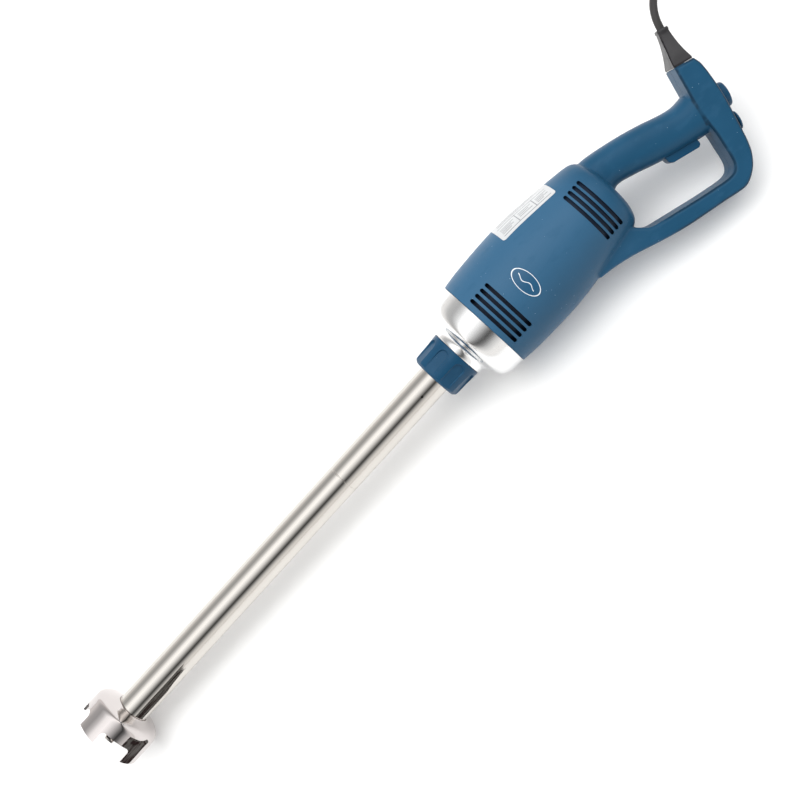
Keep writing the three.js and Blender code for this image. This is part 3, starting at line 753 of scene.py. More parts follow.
def filled_hollows(obj, voxel, passes):
    """Rounds the inner corners where shapes meet, and keeps every outer surface exact."""
    exact = BVHTree.FromPolygons(
        [v.co for v in obj.data.vertices], [list(p.vertices) for p in obj.data.polygons]
    )
    remeshed(obj, voxel, passes)
    for vertex in obj.data.vertices:
        at, normal, _, _ = exact.find_nearest(vertex.co)
        if (vertex.co - at).dot(normal) < 0:
            vertex.co = at
    obj.data.update()


def dress(obj, finish, sharp=38):
    """Gives an object one finish, smooth but for edges sharper than so many degrees."""
    obj.data.materials.clear()
    obj.data.materials.append(finish)
    obj.data.polygons.foreach_set("use_smooth", [True] * len(obj.data.polygons))
    obj.data.set_sharp_from_angle(angle=math.radians(sharp))


def put(obj, body, slot, replaced=(), finish=None, sharp=38):
    """Finishes a piece and fixes it to its body, in place of the plain nodes."""
    if obj.type == "MESH":
        obj.data.transform(obj.matrix_world)
        obj.matrix_world = BENCH
        dress(obj, finish or FINISHES[slot], sharp)
    else:
        obj.data.materials.append(finish or FINISHES[slot])
    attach(obj, body)
    if replaced:
        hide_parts(*replaced)
    return obj


# ---- the lead ----------------------------------------------------------------------------
# Millimetres on the bench's axes. It leaves the boot, falls to the bench and runs to a coil.
CORD_R = 4
LEAD_IN_BOOT = (452.5, 71.6, 93.3)
LEAD_FREE = [
    (454.2, 76.4, 96.1), (458.1, 85.3, 99.9), (464.9, 94.6, 101.8), (474.6, 103.6, 100.4),
    (486.5, 112.4, 95), (499, 121.6, 85.6), (511.5, 131.4, 72.6), (523.5, 141.6, 57),
    (535, 151.8, 40.4), (546.5, 161.6, 24.8), (558.5, 170.8, 12.4), (563.2, 173.8, 9.3),
]
LEAD_TO_COIL = [(571.5, 179.5, 5.8), (583.5, 185.6, 4), (596.5, 188.5, 4)]
LEAD_TO_PLUG = [(661.6, 120, 12), (659.6, 104, 12), (658.2, 91, 12), (658, 84, 12), (658, 79, 12)]
COIL_MIDDLE = (610, 135)
COIL_TURNS = 5.25
COIL_OUTER = 54  # to the middle of the first turn
COIL_INNER = 32
LAYER = 8.1  # from one layer of turns up to the next
TIE_ANGLE = 200
TIE_WIDTH = 9
TIE_THICKNESS = 1.2
TIE_REACH = 50  # degrees to either side in which the turns rise over the strap


def smoothstep(t):
    t = min(max(t, 0), 1)
    return t * t * (3 - 2 * t)


def coil_point(turn):
    """Winds inwards on the bench for 2.75 turns, climbs a layer there, and winds out on top."""
    inward = 2 * CORD_R * turn
    top = COIL_OUTER - COIL_INNER
    radius = COIL_OUTER - inward if inward < top else COIL_INNER + inward - top
    angle = math.radians(90 - 360 * turn)
    from_tie = abs((math.degrees(angle) - TIE_ANGLE + 180) % 360 - 180)
    over_tie = (math.cos(min(from_tie, TIE_REACH) / TIE_REACH * math.pi) + 1) / 2
    climb = LAYER * smoothstep((turn - 2.5) / 0.6)
    height = CORD_R + climb + (TIE_THICKNESS + 0.2) * over_tie
    x, y = COIL_MIDDLE
    return (x + radius * math.cos(angle), y + radius * math.sin(angle), height)


def lead_route():
    coil = [coil_point(turn) for turn in np.linspace(0, COIL_TURNS, round(COIL_TURNS * 24) + 1)]
    return smooth_run([LEAD_IN_BOOT, *LEAD_FREE, *LEAD_TO_COIL, *coil, *LEAD_TO_PLUG], 3.5)


def make_lead(on_it):
    """The whole lead as one curve. The pieces that are on it, passed in, are not used."""
    points = lead_route() * MM
    curve = bpy.data.curves.new("mains_lead", "CURVE")
    curve.dimensions = "3D"
    curve.bevel_depth = CORD_R * MM
    curve.bevel_resolution = 6
    curve.use_fill_caps = True
    spline = curve.splines.new("POLY")
    spline.points.add(len(points) - 1)
    spline.points.foreach_set("co", np.column_stack([points, np.ones(len(points))]).ravel())
    spline.use_smooth = True
    lead = bpy.data.objects.new("mains_lead", curve)
    bpy.context.scene.collection.objects.link(lead)
    put(lead, "housing", "cord_rubber", ["power_cord", "cord_tail", "cord_coil"])


def make_tie():
    """A strap round the turns, its end laid back over itself."""
    middle = (COIL_OUTER + COIL_INNER) / 2 - 1.6
    high = 2 * CORD_R + LAYER + 2 * TIE_THICKNESS + 0.6
    width = 24 + 2 * TIE_THICKNESS + 2.4
    outer = round_rect(middle, high / 2, width, high, 5.5, 8)
    inner = (width - 2 * TIE_THICKNESS, high - 2 * TIE_THICKNESS)
    hole = round_rect(middle, high / 2, *inner, 4.3, 8)
    half = TIE_WIDTH / 2
    band = solid("cord_strap", plate(outer, -half, half, 0.4, 2), BENCH)
    combine(band, plate(hole, -half - 1, half + 1))
    tab = round_rect(middle + 3, high + 0.5, 15, TIE_THICKNESS, 0.5, 2)
    combine(band, plate(tab, -half + 0.3, half - 0.3, 0.3, 2), "UNION")
    stand = Matrix.Rotation(math.radians(TIE_ANGLE), 4, "Z") @ Matrix.Rotation(math.pi / 2, 4, "X")
    band.data.transform(stand)
    band.data.transform(Matrix.Translation((COIL_MIDDLE[0] * MM, COIL_MIDDLE[1] * MM, 0)))
    return put(band, "housing", "black_plastic", ["cord_tie"], STRAP)


# ---- casing ------------------------------------------------------------------------------
BODY_START = 582.7
SEAM = 0.15  # half the parting line between the casing halves
WALL = 3
HALF_THICKNESS = 23
RIGHT_ROUNDING = 5.6  # the right half lies on the bench, so its edges are drawn in further
LEFT_ROUNDING = 3.6
BARREL = [
    (582.7, 54), (602, 56), (644, 57.3), (672, 56.5), (704, 52.8), (744, 47.2), (755, 44.8),
    (760.5, 41.4), (765, 32), (766.8, 16), (767, 0),
]
# Along the axis: top edge, bottom edge and half width of the grip.
GRIP = [
    (746, 40, -9, 24), (764, 38.4, -8, 23), (774, 37, -4.6, 22), (794, 32, -10.6, 21.2),
    (813, 26.4, -18.3, 21), (832, 19.7, -25.3, 21.2), (852, 11.6, -31.2, 22),
    (866, 7.6, -35.5, 22.5), (880, 7.6, -38, 22.5),
]
# The bent bar of head and guard: its seat for the boot, back, outer and inner edges.
BOOT_SEAT = [(890.8, 33.2), (911, 26.4)]
BACK_EDGE = [
    (911, 26.4), (912.3, 17), (909.4, -3), (905, -22.5), (899.8, -38.5), (893.6, -57.5),
    (889, -70), (883.5, -80.5), (875, -90), (865, -96.2), (857, -98.3), (849.5, -97.3),
    (832, -92.8), (812, -88.1), (792.5, -83.3), (773, -77.3), (753, -70), (733, -62.6),
    (713.5, -57), (694, -53.5),
]
IN_BARREL = [(694, -53.5), (694, -30), (742, -30)]
INNER_EDGE = [
    (742, -30), (760, -52), (766, -56.4), (777, -60), (797, -65.8), (817, -71.6), (837, -76.8),
    (851, -79.8), (859, -79), (864, -74), (867, -66), (869.6, -55), (873, -41), (875, -27),
    (879, -6.5), (884.7, 13), (890.8, 33.2),
]
SLOTS = [591 + 6.95 * i for i in range(4)] + [725.6 + 6.5 * i for i in range(4)]
SLOT_WIDTH = 4
SLOT_HALF_SPAN = 30.5
# Along the axis, up from it, and how far right of the seam plane the head sits.
SCREWS = [
    (616, 47.5, 21), (616, -47.5, 21), (702, 43, 21), (702, -43, 21),
    (790, 11.5, 15), (893.5, 8.5, 18), (872, -82.5, 18), (768, -66.5, 18),
]
BAFFLES = [(586, 617, 8), (720, 751, 4)]  # start, end and gap below the outer surface
SCREW_HEAD_R = 3.6
SCREW_POST_R = 5.5
CONTROL_HOLE_R = 4.8
LEAD_HOLE_R = 6.2
TRIGGER_WINDOW = (842.1, -31, 39, 34)  # middle, length along the tool and height
BACK_ANGLE = math.degrees(math.atan2(-0.29, 0.957))
DIAL_PLACE = (905.2, -20.8, 0)
BUTTON_PLACE = (896.9, -48.2, 0)
BOOT_ROOT = np.array((900.9, 29.8, 0))
BOOT_TIP = np.array((913.8, 67.3, 0))


def on_back(shape, place):
    """A shape made about x, set square on the leaning back of the head."""
    return moved(shape, about_z(BACK_ANGLE), place)


def frame_outline():
    """Its corners stay sharp, with no point so near them that a drawn-in edge would cross."""
    corners = np.array([*BOOT_SEAT, *IN_BARREL], float)
    made = [BOOT_SEAT[0]]
    for edge in (BACK_EDGE, IN_BARREL[:2], IN_BARREL[1:], INNER_EDGE):
        made.append(edge[0])
        for point in smooth_run(edge, 2.5)[1:-1]:
            if np.linalg.norm(corners - point, axis=1).min() > 6:
                made.append(point)
    return anticlockwise(made)


def grip_shape(by=0.0, sides=64):
    """The grip between barrel and head, drawn in by a wall."""
    rings = []
    for x, top, bottom, half in smooth_run(GRIP, 3):
        y, z = squarish((top - bottom) / 2 - by, half - by, 2.5, sides)
        rings.append(np.column_stack([np.full(sides, x), (top + bottom) / 2 + y, z]))
    return loft(rings)


def barrel_profile(by=0.0):
    """The barrel's outline, drawn in by a wall, from the nose's side to its closed end."""
    run = smooth_run(BARREL, 3)
    drawn = [(min(x, 767 - by), max(r - by, 0)) for x, r in run]
    drawn[-1] = (767 - by, 0)
    return drawn


BARREL_RUN = smooth_run(BARREL[:-2], 2)


def barrel_radius(x):
    return np.interp(x, *BARREL_RUN.T)


def casing_solid():
    body = solid("casing", turned([(BODY_START, 0), *barrel_profile()], 160))
    combine(body, grip_shape(), "UNION")
    outline = frame_outline()
    combine(body, plate(outline, -HALF_THICKNESS, 10, RIGHT_ROUNDING, 5), "UNION")
    combine(body, plate(outline, -10, HALF_THICKNESS, LEFT_ROUNDING, 5), "UNION")
    filled_hollows(body, 1.15, 14)
    return body


def baffle(start, end, gap, side):
    """A splash wall moulded behind the air slots, closed to the casing at its sides."""
    arc = np.linspace(-46, 46, 24)
    rings = []
    for x in np.linspace(start, end, 12):
        skin = barrel_radius(x)
        high, low, root = skin - gap, skin - gap - 1.3, skin - 1.5
        spots = [(root, -46), *((high, t) for t in arc), (root, 46), (root, 48)]
        spots += [*((low, t * 48 / 46) for t in reversed(arc)), (root, -48)]
        turned_spots = [(r, math.radians(t)) for r, t in spots]
        rings.append([(x, r * math.sin(t), side * r * math.cos(t)) for r, t in turned_spots])
    return loft(rings)


def paint_inside_shade(obj):
    """Unlit inner faces of the casing take the darker finish, a painted shade."""
    obj.data.materials.append(PAINTED_SHADE_INSIDE)
    for face in obj.data.polygons:
        x, y, z = in_tool(face.center)
        if x < 760 and math.hypot(y, z) < barrel_radius(x) - 1.6:
            face.material_index = 1


def make_casing():
    body = casing_solid()
    start = BODY_START - 1
    combine(body, turned([(start, 0), (start, 51), *barrel_profile(WALL)], 64))
    combine(body, grip_shape(WALL, 40))
    within = inset(frame_outline(), WALL)
    combine(body, plate(within, WALL - HALF_THICKNESS, HALF_THICKNESS - WALL, 3, 2))
    for x, y, _ in SCREWS:
        start = -22.5 if abs(y) > 40 else -20.5
        combine(body, post(x, y, start, 20, SCREW_POST_R), "UNION")
    slots = []
    for x in SLOTS:
        shape = round_rect(x, 0, SLOT_WIDTH, 2 * SLOT_HALF_SPAN, SLOT_WIDTH / 2 - 0.05)
        slots += [plate(shape, 26, 70), plate(shape, -70, -26)]
    combine(body, together(slots))
    for start, end, gap in BAFFLES:
        combine(body, together([baffle(start, end, gap, side) for side in (-1, 1)]), "UNION")
    combine(body, plate(round_rect(*TRIGGER_WINDOW, 1.5), -11, 11))
    for place in (DIAL_PLACE, BUTTON_PLACE):
        combine(body, on_back(rod(-12, 8, CONTROL_HOLE_R), place))
    combine(body, moved(rod(-12, 12, LEAD_HOLE_R), about_z(boot_lean() + 90), BOOT_ROOT))
    for x, y, seat in SCREWS:
        combine(body, post(x, y, -70, -seat, SCREW_HEAD_R + 0.35, 32))
        combine(body, post(x, y, -seat - 1, 16, 2.2, 16))
    halves = []
    for name, low, high in (("casing_left", SEAM, 90), ("casing_right", -90, -SEAM)):
        half = body.copy()
        half.data = body.data.copy()
        half.name = name
        bpy.context.scene.collection.objects.link(half)
        combine(half, block(500, 1000, -160, 160, low, high), "INTERSECT")
        halves.append(half)
    discard(body)
    put(halves[0], "housing", "blue_plastic", ["body_shell_left"])
    put(halves[1], "housing", "blue_plastic", ["body_shell_right"])
    for half in halves:
        paint_inside_shade(half)


def boot_lean():
    axis = BOOT_TIP - BOOT_ROOT
    return math.degrees(math.atan2(axis[1], axis[0])) - 90


def make_screws():
    """Pan heads with a cross recess, sunk in the right half."""
    for number, (x, y, seat) in enumerate(SCREWS, 1):
        head = [
            (0, 0), (0, 3.0), (0.25, 3.45), (0.8, SCREW_HEAD_R), (1.6, 3.5), (2.1, 3.1),
            (2.4, 2.3), (2.5, 1.2), (2.55, 0),
        ]
        screw = solid(f"screw_{number}", turned(head, 48))
        slots = [block(1.1, 4, -2, 2, -0.45, 0.45), block(1.1, 4, -0.45, 0.45, -2, 2)]
        for slot in slots:
            combine(screw, slot)
        combine(screw, rod(-34, 0.2, 1.7, 20), "UNION")
        screw.data.transform(Matrix.Rotation(math.pi / 2, 4, "Y"))
        screw.data.transform(Matrix.Translation((x * MM, y * MM, -(seat + 0.1) * MM)))
        put(screw, "housing", "screw_steel", [f"casing_screw_{number}"])


FILM_LIFT = 0.3
FILM_THICKNESS = 0.25


def barrel_patch(name, spot, inside, rows, unit):
    """A thin film on the barrel: inside(u, v) draws its outline in, u and v run from -1 to 1.
    Its print is laid out in the same way, times unit."""
    x, angle, half_length, half_width = spot
    across = np.linspace(-1, 1, rows + 1)
    made = bmesh.new()
    layer = made.loops.layers.uv.new(PRINT)
    spots = {}
    for i, u in enumerate(across):
        for j, v in enumerate(across):
            du, dv = inside(u, v)
            at_x = x + du * half_length
            radius = barrel_radius(at_x) + FILM_LIFT
            turn = math.radians(angle) + dv * half_width / barrel_radius(x)
            co = Vector((at_x, -radius * math.sin(turn), radius * math.cos(turn))) * MM
            spots[i, j] = (made.verts.new(co), (du, dv))
    for i in range(rows):
        for j in range(rows):
            corners = [spots[i, j], spots[i + 1, j], spots[i + 1, j + 1], spots[i, j + 1]]
            face = made.faces.new([vertex for vertex, _ in corners])
            for loop, (_, (du, dv)) in zip(face.loops, corners):
                loop[layer].uv = (du * unit[0], dv * unit[1])
    bmesh.ops.recalc_face_normals(made, faces=made.faces)
    mesh = bpy.data.meshes.new(name)
    made.to_mesh(mesh)
    made.free()
    film = bpy.data.objects.new(name, mesh)
    bpy.context.scene.collection.objects.link(film)
    film.matrix_world = TOOL
    middle = mesh.polygons[len(mesh.polygons) // 2]
    outwards = Vector((0, middle.center.y, middle.center.z))
    if middle.normal.dot(outwards) < 0:
        mesh.flip_normals()
    return modify(film, "SOLIDIFY", thickness=FILM_THICKNESS * MM, offset=-1)


def disc(u, v):
    """From a square to a circle."""
    return u * math.sqrt(1 - v * v / 2), v * math.sqrt(1 - u * u / 2)


def rounded_square(corner_u, corner_v):
    """From a square to the same square with its corners drawn in."""
    def inside(u, v):
        du = max(abs(u) - (1 - corner_u), 0) / corner_u
        dv = max(abs(v) - (1 - corner_v), 0) / corner_v
        if du <= 0 or dv <= 0:
            return u, v
        shrink = max(du, dv) / math.hypot(du, dv)
        near = (1 - corner_u + du * shrink * corner_u, 1 - corner_v + dv * shrink * corner_v)
        return math.copysign(near[0], u), math.copysign(near[1], v)
    return inside


def make_films():
    """The label, its print in millimetres, and the badge, its print in parts of the oval."""
    half = LABEL[2:]
    corners = rounded_square(*(LABEL_CORNER / (2 * side) for side in half))
    label = barrel_patch("rating_film", LABEL, corners, 72, half)
    put(label, "housing", "label", ["rating_label"])
    badge = barrel_patch("badge_oval", BADGE, disc, 48, (1, 1))
    put(badge, "housing", "badge", ["badge_plate"])


BOOT_CORNER_STEPS = 5
BOOT_CREASE = 1.5  # how deep the moulded crease is along each front edge


def make_boot():
    """A four-sided boot, creased along its front edges, that narrows to a lip round the lead."""
    length = float(np.linalg.norm(BOOT_TIP - BOOT_ROOT))
    stations = smooth_run([
        (0.03, 10.5, 19.4), (0.1, 9.9, 17.6), (0.3, 8.4, 13), (0.55, 6.9, 9.3), (0.8, 5.9, 7),
        (0.905, 5.7, 6.5),
    ], 0.35)
    stations = [*stations, (0.915, 5.95, 6.65), (0.93, 6.2, 6.8), (0.985, 6.1, 6.6), (1, 5.7, 6.2)]
    joint = [(0, 10.3, 19.3), (0.012, 9.9, 18.9)]  # drawn in where it meets the casing
    rings = []
    for t, half, deep in [*joint, *stations[1:]]:
        ring = round_rect(0, 0, 2 * half, 2 * deep, 0.9 + 1.1 * t, BOOT_CORNER_STEPS)
        crease = min(max(0.9 - t, 0) * 8, 1) * BOOT_CREASE
        for corner in (1, 2):
            first = corner * (BOOT_CORNER_STEPS + 1)
            for i in range(first + 1, first + 5):
                ring[i] -= ring[i] / np.linalg.norm(ring[i]) * crease
        rings.append([(x, t * length + 0.3, z) for x, z in ring])
    boot = solid("lead_boot", loft(rings))
    combine(boot, moved(rod(-6, 0.8, 5.7, 32), about_z(90)), "UNION")
    combine(boot, moved(rod(-20, 80, CORD_R + 0.25, 48), about_z(90)))
    boot.data.transform(Matrix.Translation(Vector(BOOT_ROOT * MM)) @ about_z(boot_lean()).to_4x4())
    put(boot, "housing", "grey_rubber", ["strain_relief"], sharp=30)


# ---- controls ----------------------------------------------------------------------------
TRIGGER_EDGE = [
    (824.2, -13.5), (824.1, -27), (826.6, -30.4), (855.5, -39.2), (858.6, -37.4), (859.4, -31),
    (859, -26), (838, -19.6), (833.5, -13.5),
]
TRIGGER_PIN = (829, -17)
KNOB_FLUTES = 24


def rounded_corners(points, radius, steps=4):
    """An outline with each corner turned on a small radius."""
    points = np.array(points, float)
    made = []
    for before, corner, after in zip(np.roll(points, 1, 0), points, np.roll(points, -1, 0)):
        back, on = before - corner, after - corner
        reach = min(radius, np.linalg.norm(back) * 0.45, np.linalg.norm(on) * 0.45)
        start = corner + back / np.linalg.norm(back) * reach
        end = corner + on / np.linalg.norm(on) * reach
        for t in np.linspace(0, 1, steps + 1):
            made.append((1 - t) ** 2 * start + 2 * t * (1 - t) * corner + t * t * end)
    return np.array(made)


def make_trigger():
    lever = solid("trigger_paddle", plate(rounded_corners(TRIGGER_EDGE, 1.6), -10, 10, 1.2, 4))
    combine(lever, post(*TRIGGER_PIN, -20, 20, 2.3, 32))
    put(lever, "trigger_lever", "collar_plastic", ["trigger"])


def make_spring():
    """The return spring, a copy of the plain one, with a mesh of its own."""
    spring = refined("trigger_spring", "return_spring", "housing", "screw_steel")
    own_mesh(spring)


def stand_on_back(obj, place):
    """Sets an object made about x square on the leaning back of the head."""
    obj.data.transform(Matrix.Translation(Vector(place) * MM) @ about_z(BACK_ANGLE).to_4x4())


def make_dial():
    """The speed knob: fluted round its edge, with one plain notch."""
    profile = [
        (0.6, 0), (0.6, 12.1), (0.9, 12.9), (1.5, 13.3), (2.2, 13.4), (6.6, 13.0), (7.5, 12.7),
        (8.1, 12.1), (8.4, 11.2), (8.45, 9), (8.3, 7), (8.25, 0),
    ]
    dial = solid("speed_knob", turned(profile, 144))
    flute = moved(rod(1.8, 10, 0.75, 12), shift=(0, 13.7, 0))
    flutes = [moved(flute, about_x(360 / KNOB_FLUTES * turn)) for turn in range(KNOB_FLUTES)]
    combine(dial, together(flutes))
    combine(dial, rod(-5.5, 1, 4, 32), "UNION")
    combine(dial, block(7.7, 9.4, 4.5, 11, -0.55, 0.55))
    stand_on_back(dial, DIAL_PLACE)
    put(dial, "dial", "collar_plastic", ["speed_dial"])


def make_button():
    profile = [
        (3.6, 0), (3.6, 9.2), (3.8, 9.7), (4.3, 10), (5, 10), (5.6, 9.8), (6.1, 9.2), (6.5, 8),
        (6.8, 6), (6.95, 3), (7, 0),
    ]
    button = solid("lock_knob", turned(profile, 96))
    combine(button, rod(-8, 4, 3.6, 32), "UNION")
    stand_on_back(button, BUTTON_PLACE)
    put(button, "button", "collar_plastic", ["lock_button"])


# ---- nose casting, collar and shaft ------------------------------------------------------
SHAFT_LENGTH = 508
TUBE_R = 17.5
BELL_R = 39.5
WINDOWS = 4
WINDOW_TURN = 9.5  # degrees round from the left to the middle of the first window
WINDOW_SPAN = 53  # degrees of the bell's edge that a window takes
WINDOW_TOP = 16.7
FLUTES = 8
FLUTE_TURN = -25.5
DRAIN_X = 486.7  # the small hole in the tube, below the collar
DRAIN_ANGLE = 5.7


def make_flange():
    """The nose casting, with the spigot that the collar goes over and the tube goes into."""
    outside = runs(
        [(542.3, 28.6), (543, 29.1), (545.2, 29.4), (547.4, 30.2), (550, 32.4), (552.2, 35.8)],
        [
            (552.2, 35.8), (553.8, 40), (555.4, 44.4), (558.8, 48.8), (563.8, 51.6), (570, 53),
            (582.4, 53.9),
        ],
        spacing=0.8,
    )
    inside = [
        (582.4, 50), (588, 50), (588, 47.5), (574, 47.5), (566, 42), (563, 20.5), (576, 20.5),
        (576, 16.3), (564, 16.3), (564, 11), (556, 11), (556, 18.1), (522, 18.1), (522, 23.2),
        (522.4, 23.5), (542.3, 23.5), (542.3, 28.6),
    ]
    flange = solid("nose_casting", turned([*outside, *inside], 192))
    put(flange, "housing", "cast_aluminium", ["nose_flange"], sharp=30)


def make_collar():
    """The locking collar, with its shallow flutes softened as moulded ones are."""
    profile = [
        (508, 18.2), (508, 24.2), (508.4, 24.8), (510.2, 26.8), (511, 27.3), (514, 27.6),
        (526, 28), (541.2, 28.9), (541.8, 28.7), (542, 28.3), (542, 23.8), (513, 23.8),
        (513, 18.2), (508, 18.2),
    ]
    collar = solid("fluted_collar", turned(profile, 192))
    shape = round_rect(SHAFT_LENGTH + 9.5, 0, 39, 12.4, 6, 10)
    flutes = [
        moved(plate(shape, 26.2, 40), about_x(360 / FLUTES * i + FLUTE_TURN))
        for i in range(FLUTES)
    ]
    combine(collar, together(flutes))
    remeshed(collar, 0.45, 3)
    put(collar, "locking_ring", "collar_plastic", ["lock_collar"], sharp=60)


def make_tube():
    """The shaft's tube, with a turned groove, a shoulder inside the collar and a drain hole."""
    profile = [
        (35, 16), (35, TUBE_R), (368.9, TUBE_R), (369.2, 17.35), (369.4, 17.1), (370, 17.1),
        (370.2, 17.35), (370.5, TUBE_R), (514, TUBE_R), (514, 22.6), (514.2, 22.8),
        (519.8, 22.8), (520, 22.6), (520, TUBE_R), (540, TUBE_R), (540, 16), (35, 16),
    ]
    tube = solid("steel_tube", turned(profile, 160))
    combine(tube, moved(post(DRAIN_X, 0, 14, 20, 1.3, 24), about_x(DRAIN_ANGLE)))
    put(tube, "shaft", "stainless", ["shaft_tube"], sharp=25)


def make_bell():
    """The bell over the blade, cut through by four windows that leave four prongs."""
    outside = smooth_run([
        (2, 39.5), (14, 39.3), (27, 38.9), (30.5, 38.2), (33.4, 36), (36, 31.5), (38.2, 25.5),
        (40, 20.9),
    ], 0.8)
    inside = smooth_run([
        (34.4, 21), (33.4, 25.5), (31.6, 31), (29.4, 34.4), (26, 36.2), (12, 36.8), (0.6, 37),
    ], 0.8)
    profile = [
        (0, 37.5), (0, 39), (0.4, 39.4), *outside, (40.7, 19.6), (41, 18.8), (40.7, 17.8),
        (34.4, 17.8), *inside, (0, 37.5),
    ]
    bell = solid("bell_guard", turned(profile, 256))
    width = 2 * BELL_R * math.sin(math.radians(WINDOW_SPAN / 2))
    shape = round_rect(WINDOW_TOP - 15, 0, 30, width, 5, 12)
    windows = [
        moved(plate(shape, 20, 50), about_x(WINDOW_TURN + 360 / WINDOWS * i)) for i in range(WINDOWS)
    ]
    combine(bell, together(windows))
    put(bell, "shaft", "stainless", ["blade_guard"], MIRROR, sharp=28)


def refined(node, name, body, slot, width=0):
    """A copy of a plain node, its sharp edges rounded where a width is given."""
    source = frame["nodes"][node]
    made = source.copy()
    made.data = source.data.copy()
    made.name = name
    for key in [key for key in made.keys() if key.startswith("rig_")]:
        del made[key]
    made.parent = None
    made.matrix_world = BENCH
    bpy.context.scene.collection.objects.link(made)
    joined = bmesh.new()
    joined.from_mesh(made.data)
    bmesh.ops.remove_doubles(joined, verts=joined.verts, dist=0.005 * MM)
    bmesh.ops.dissolve_limit(
        joined, angle_limit=math.radians(1), verts=joined.verts, edges=joined.edges
    )
    joined.to_mesh(made.data)
    joined.free()
    if width:
        bevelled(made, width)
    return put(made, body, slot, [node], sharp=35)


def make_blades():
    refined("blade", "cutting_blade", "drive_line", "stainless", 0.35)
    refined("blade_nut", "cutter_nut", "drive_line", "stainless", 0.5)


# ---- plug --------------------------------------------------------------------------------
PLUG_PLACE = (658, 80, 12)
NECK_RIBS = 5
GRIP_RIBS = 5  # on each side


def plug_ring(y, half, high, power=3.2):
    x, z = squarish(half, high, power, 48)
    return np.column_stack([x, np.full(len(x), y), z])


def make_plug():
    """A moulded three-pin plug: ribbed neck, waisted grip and flat face."""
    neck = []
    for i in range(NECK_RIBS):
        y = -0.6 - 2.4 * i
        swell = 4.9 + 0.12 * i
        neck += [(y, swell - 0.7), (y - 0.3, swell), (y - 1.4, swell + 0.1), (y - 1.7, swell - 0.6)]
    rings = [plug_ring(0, 4.3, 4.3, 2)] + [plug_ring(y, r, r, 2) for y, r in neck]
    grip = smooth_run([
        (-12.6, 6.4, 6.2), (-14, 8.6, 7.6), (-17, 12.2, 9.8), (-21, 13.9, 10.6), (-28, 12.7, 10.1),
        (-35, 13.7, 10.9), (-41, 14.9, 11.5), (-43.2, 14.8, 11.4), (-44, 14.2, 10.9),
    ], 0.9)
    rings += [plug_ring(y, half, high) for y, half, high in grip]
    body = solid("plug_shell", loft(rings), BENCH)
    ribs = []
    for side in (-1, 1):
        for i in range(GRIP_RIBS):
            y = -23.5 - 2.4 * i
            ribs.append(block(side * 14 - 1.9, side * 14 + 1.9, y - 0.55, y + 0.55, -6, 6))
    combine(body, together(ribs))
    body.data.transform(Matrix.Translation(Vector(PLUG_PLACE) * MM))
    put(body, "housing", "cord_rubber", ["plug_body"])
    pins = [
        refined(node, name, "housing", "brass", width)
        for node, name, width in (
            ("plug_blade_live", "live_pin", 0.5),
            ("plug_blade_neutral", "neutral_pin", 0.5),
            ("plug_earth_pin", "earth_pin", 0.9),
        )
    ]
    return [body, *pins]


# ---- working parts that keep their own shape ---------------------------------------------
def finish_working_parts():
    """Gives each plain node its finish."""
    for part in frame["record"]["subparts"]:
        node = frame["nodes"][part["node"]]
        node.data.materials.clear()
        node.data.materials.append(FINISHES[part["material_slot"]])


# ---- bench, light and air ----------------------------------------------------------------
BENCH_HALF = 9  # metres
# Name, place and size in metres, and power in watts.
LIGHTS = [
    ("overhead", (-0.2, 0.9, 2.2), (2.4, 1.8), 26),
    ("fill", (0.1, 0, 3), (3.2, 3.2), 26),
]
# The dark card: its two ends, its near and far edge, how low it lies and how high it stands.
FLAG_ENDS = (-560, -400)
FLAG_NEAR = -50
FLAG_FAR = -150
FLAG_LOW = 2
FLAG_HIGH = 110


def make_bench():
    half = BENCH_HALF
    vertices = np.array([(-half, -half, 0), (half, -half, 0), (half, half, 0), (-half, half, 0)]) / MM
    bench = solid("bench", (vertices, [[0, 1, 2, 3]]), BENCH)
    f = Finish("bench_top")
    tone = f.blend((0.86, 0.86, 0.855), (0.89, 0.89, 0.885), f.noise(60, 3))
    dress(bench, f.surface(
        Base_Color=tone,
        Roughness=0.55 + 0.1 * f.noise(20, 2),
        Normal=f.bump(f.noise(1.5), 0.01),
        Emission_Color=(1, 1, 1),
        Emission_Strength=0.14,
    ))


def soft_light(name, place, size, power):
    """A soft box aimed at the middle of the bench, which bright metal doesn't show."""
    data = bpy.data.lights.new(name, "AREA")
    data.shape = "RECTANGLE"
    data.size, data.size_y = size
    data.energy = power
    light = bpy.data.objects.new(name, data)
    bpy.context.scene.collection.objects.link(light)
    towards = -Vector(place)
    turn = towards.to_track_quat("-Z", "Y").to_matrix().to_4x4()
    light.matrix_world = Matrix.Translation(place) @ turn
    light.visible_glossy = False


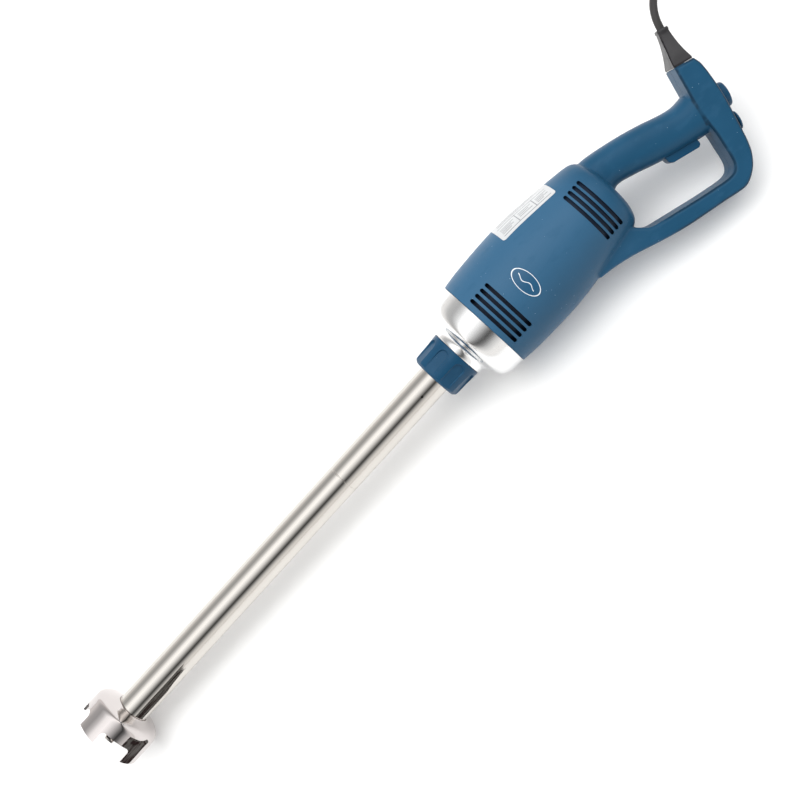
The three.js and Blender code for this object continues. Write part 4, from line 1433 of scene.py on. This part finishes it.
def make_flag():
    """A dark card low beside the bell: only bright metal shows it, as dark edges."""
    left, right = FLAG_ENDS
    corners = [
        (left, FLAG_NEAR, FLAG_LOW), (right, FLAG_NEAR, FLAG_LOW), (right, FLAG_FAR, FLAG_LOW),
        (left, FLAG_FAR, FLAG_LOW), (right, FLAG_FAR, FLAG_HIGH), (left, FLAG_FAR, FLAG_HIGH),
    ]
    flag = solid("dark_flag", (np.array(corners, float), [[0, 1, 2, 3], [3, 2, 4, 5]]), BENCH)
    f = Finish("flag_cloth")
    patches = f.noise(30, 2).ramp(0.4, 0.6)
    cloth = f.blend((0.02, 0.01, 0.01), (0.12, 0.12, 0.115), patches)
    dress(flag, f.surface(Base_Color=cloth, Roughness=1.0))
    for sight in ("camera", "diffuse", "shadow", "transmission", "volume_scatter"):
        setattr(flag, f"visible_{sight}", False)


# Round the room over the tool, from the far side at 0 to the near side at 180 degrees: how
# bright the soft boxes and the dim gaps between them are.
ROOM = [
    (0, 1.0), (10, 0.9), (25, 0.56), (42, 0.47), (57, 0.8), (70, 1.37), (85, 1.55), (98, 1.2),
    (112, 0.68), (124, 0.24), (132, 0.06), (140, 0.2), (152, 0.65), (166, 1.0), (180, 1.0),
]
ROOM_TOP = 1.6


def make_room():
    """A pale room with a long soft box overhead and a dim gap on either side of it."""
    room = bpy.data.worlds.new("room")
    bpy.context.scene.world = room
    f = Finish("room", room)
    _, y, z = f.parts(f.node("ShaderNodeTexCoord").outputs["Generated"])
    turn = z.larger(0.0).angle_over(y) / math.pi
    stops = [(degrees / 180, [light / ROOM_TOP] * 3) for degrees, light in ROOM]
    ramp = f.node("ShaderNodeValToRGB", {"stops": stops}, {"Fac": turn})
    warm = f.blend((1, 0.975, 0.95), (1, 1, 1), z.ramp(0.0, 0.7))
    shade = f.node(
        "ShaderNodeMix", {"data_type": "RGBA", "blend_type": "MULTIPLY"},
        {0: 1.0, 6: ramp.outputs[0], 7: warm},
    ).outputs[2]
    back = f.node("ShaderNodeBackground", None, {"Color": shade, "Strength": ROOM_TOP})
    f.node("ShaderNodeOutputWorld", None, {"Surface": back.outputs[0]})


make_lead([*make_plug(), make_tie()])
make_casing()
make_screws()
make_films()
make_boot()
make_trigger()
make_spring()
make_dial()
make_button()
make_flange()
make_collar()
make_tube()
make_bell()
make_blades()
finish_working_parts()
make_bench()
make_flag()
make_room()
for light in LIGHTS:
    soft_light(*light)
bpy.context.scene.view_settings.view_transform = "Standard"
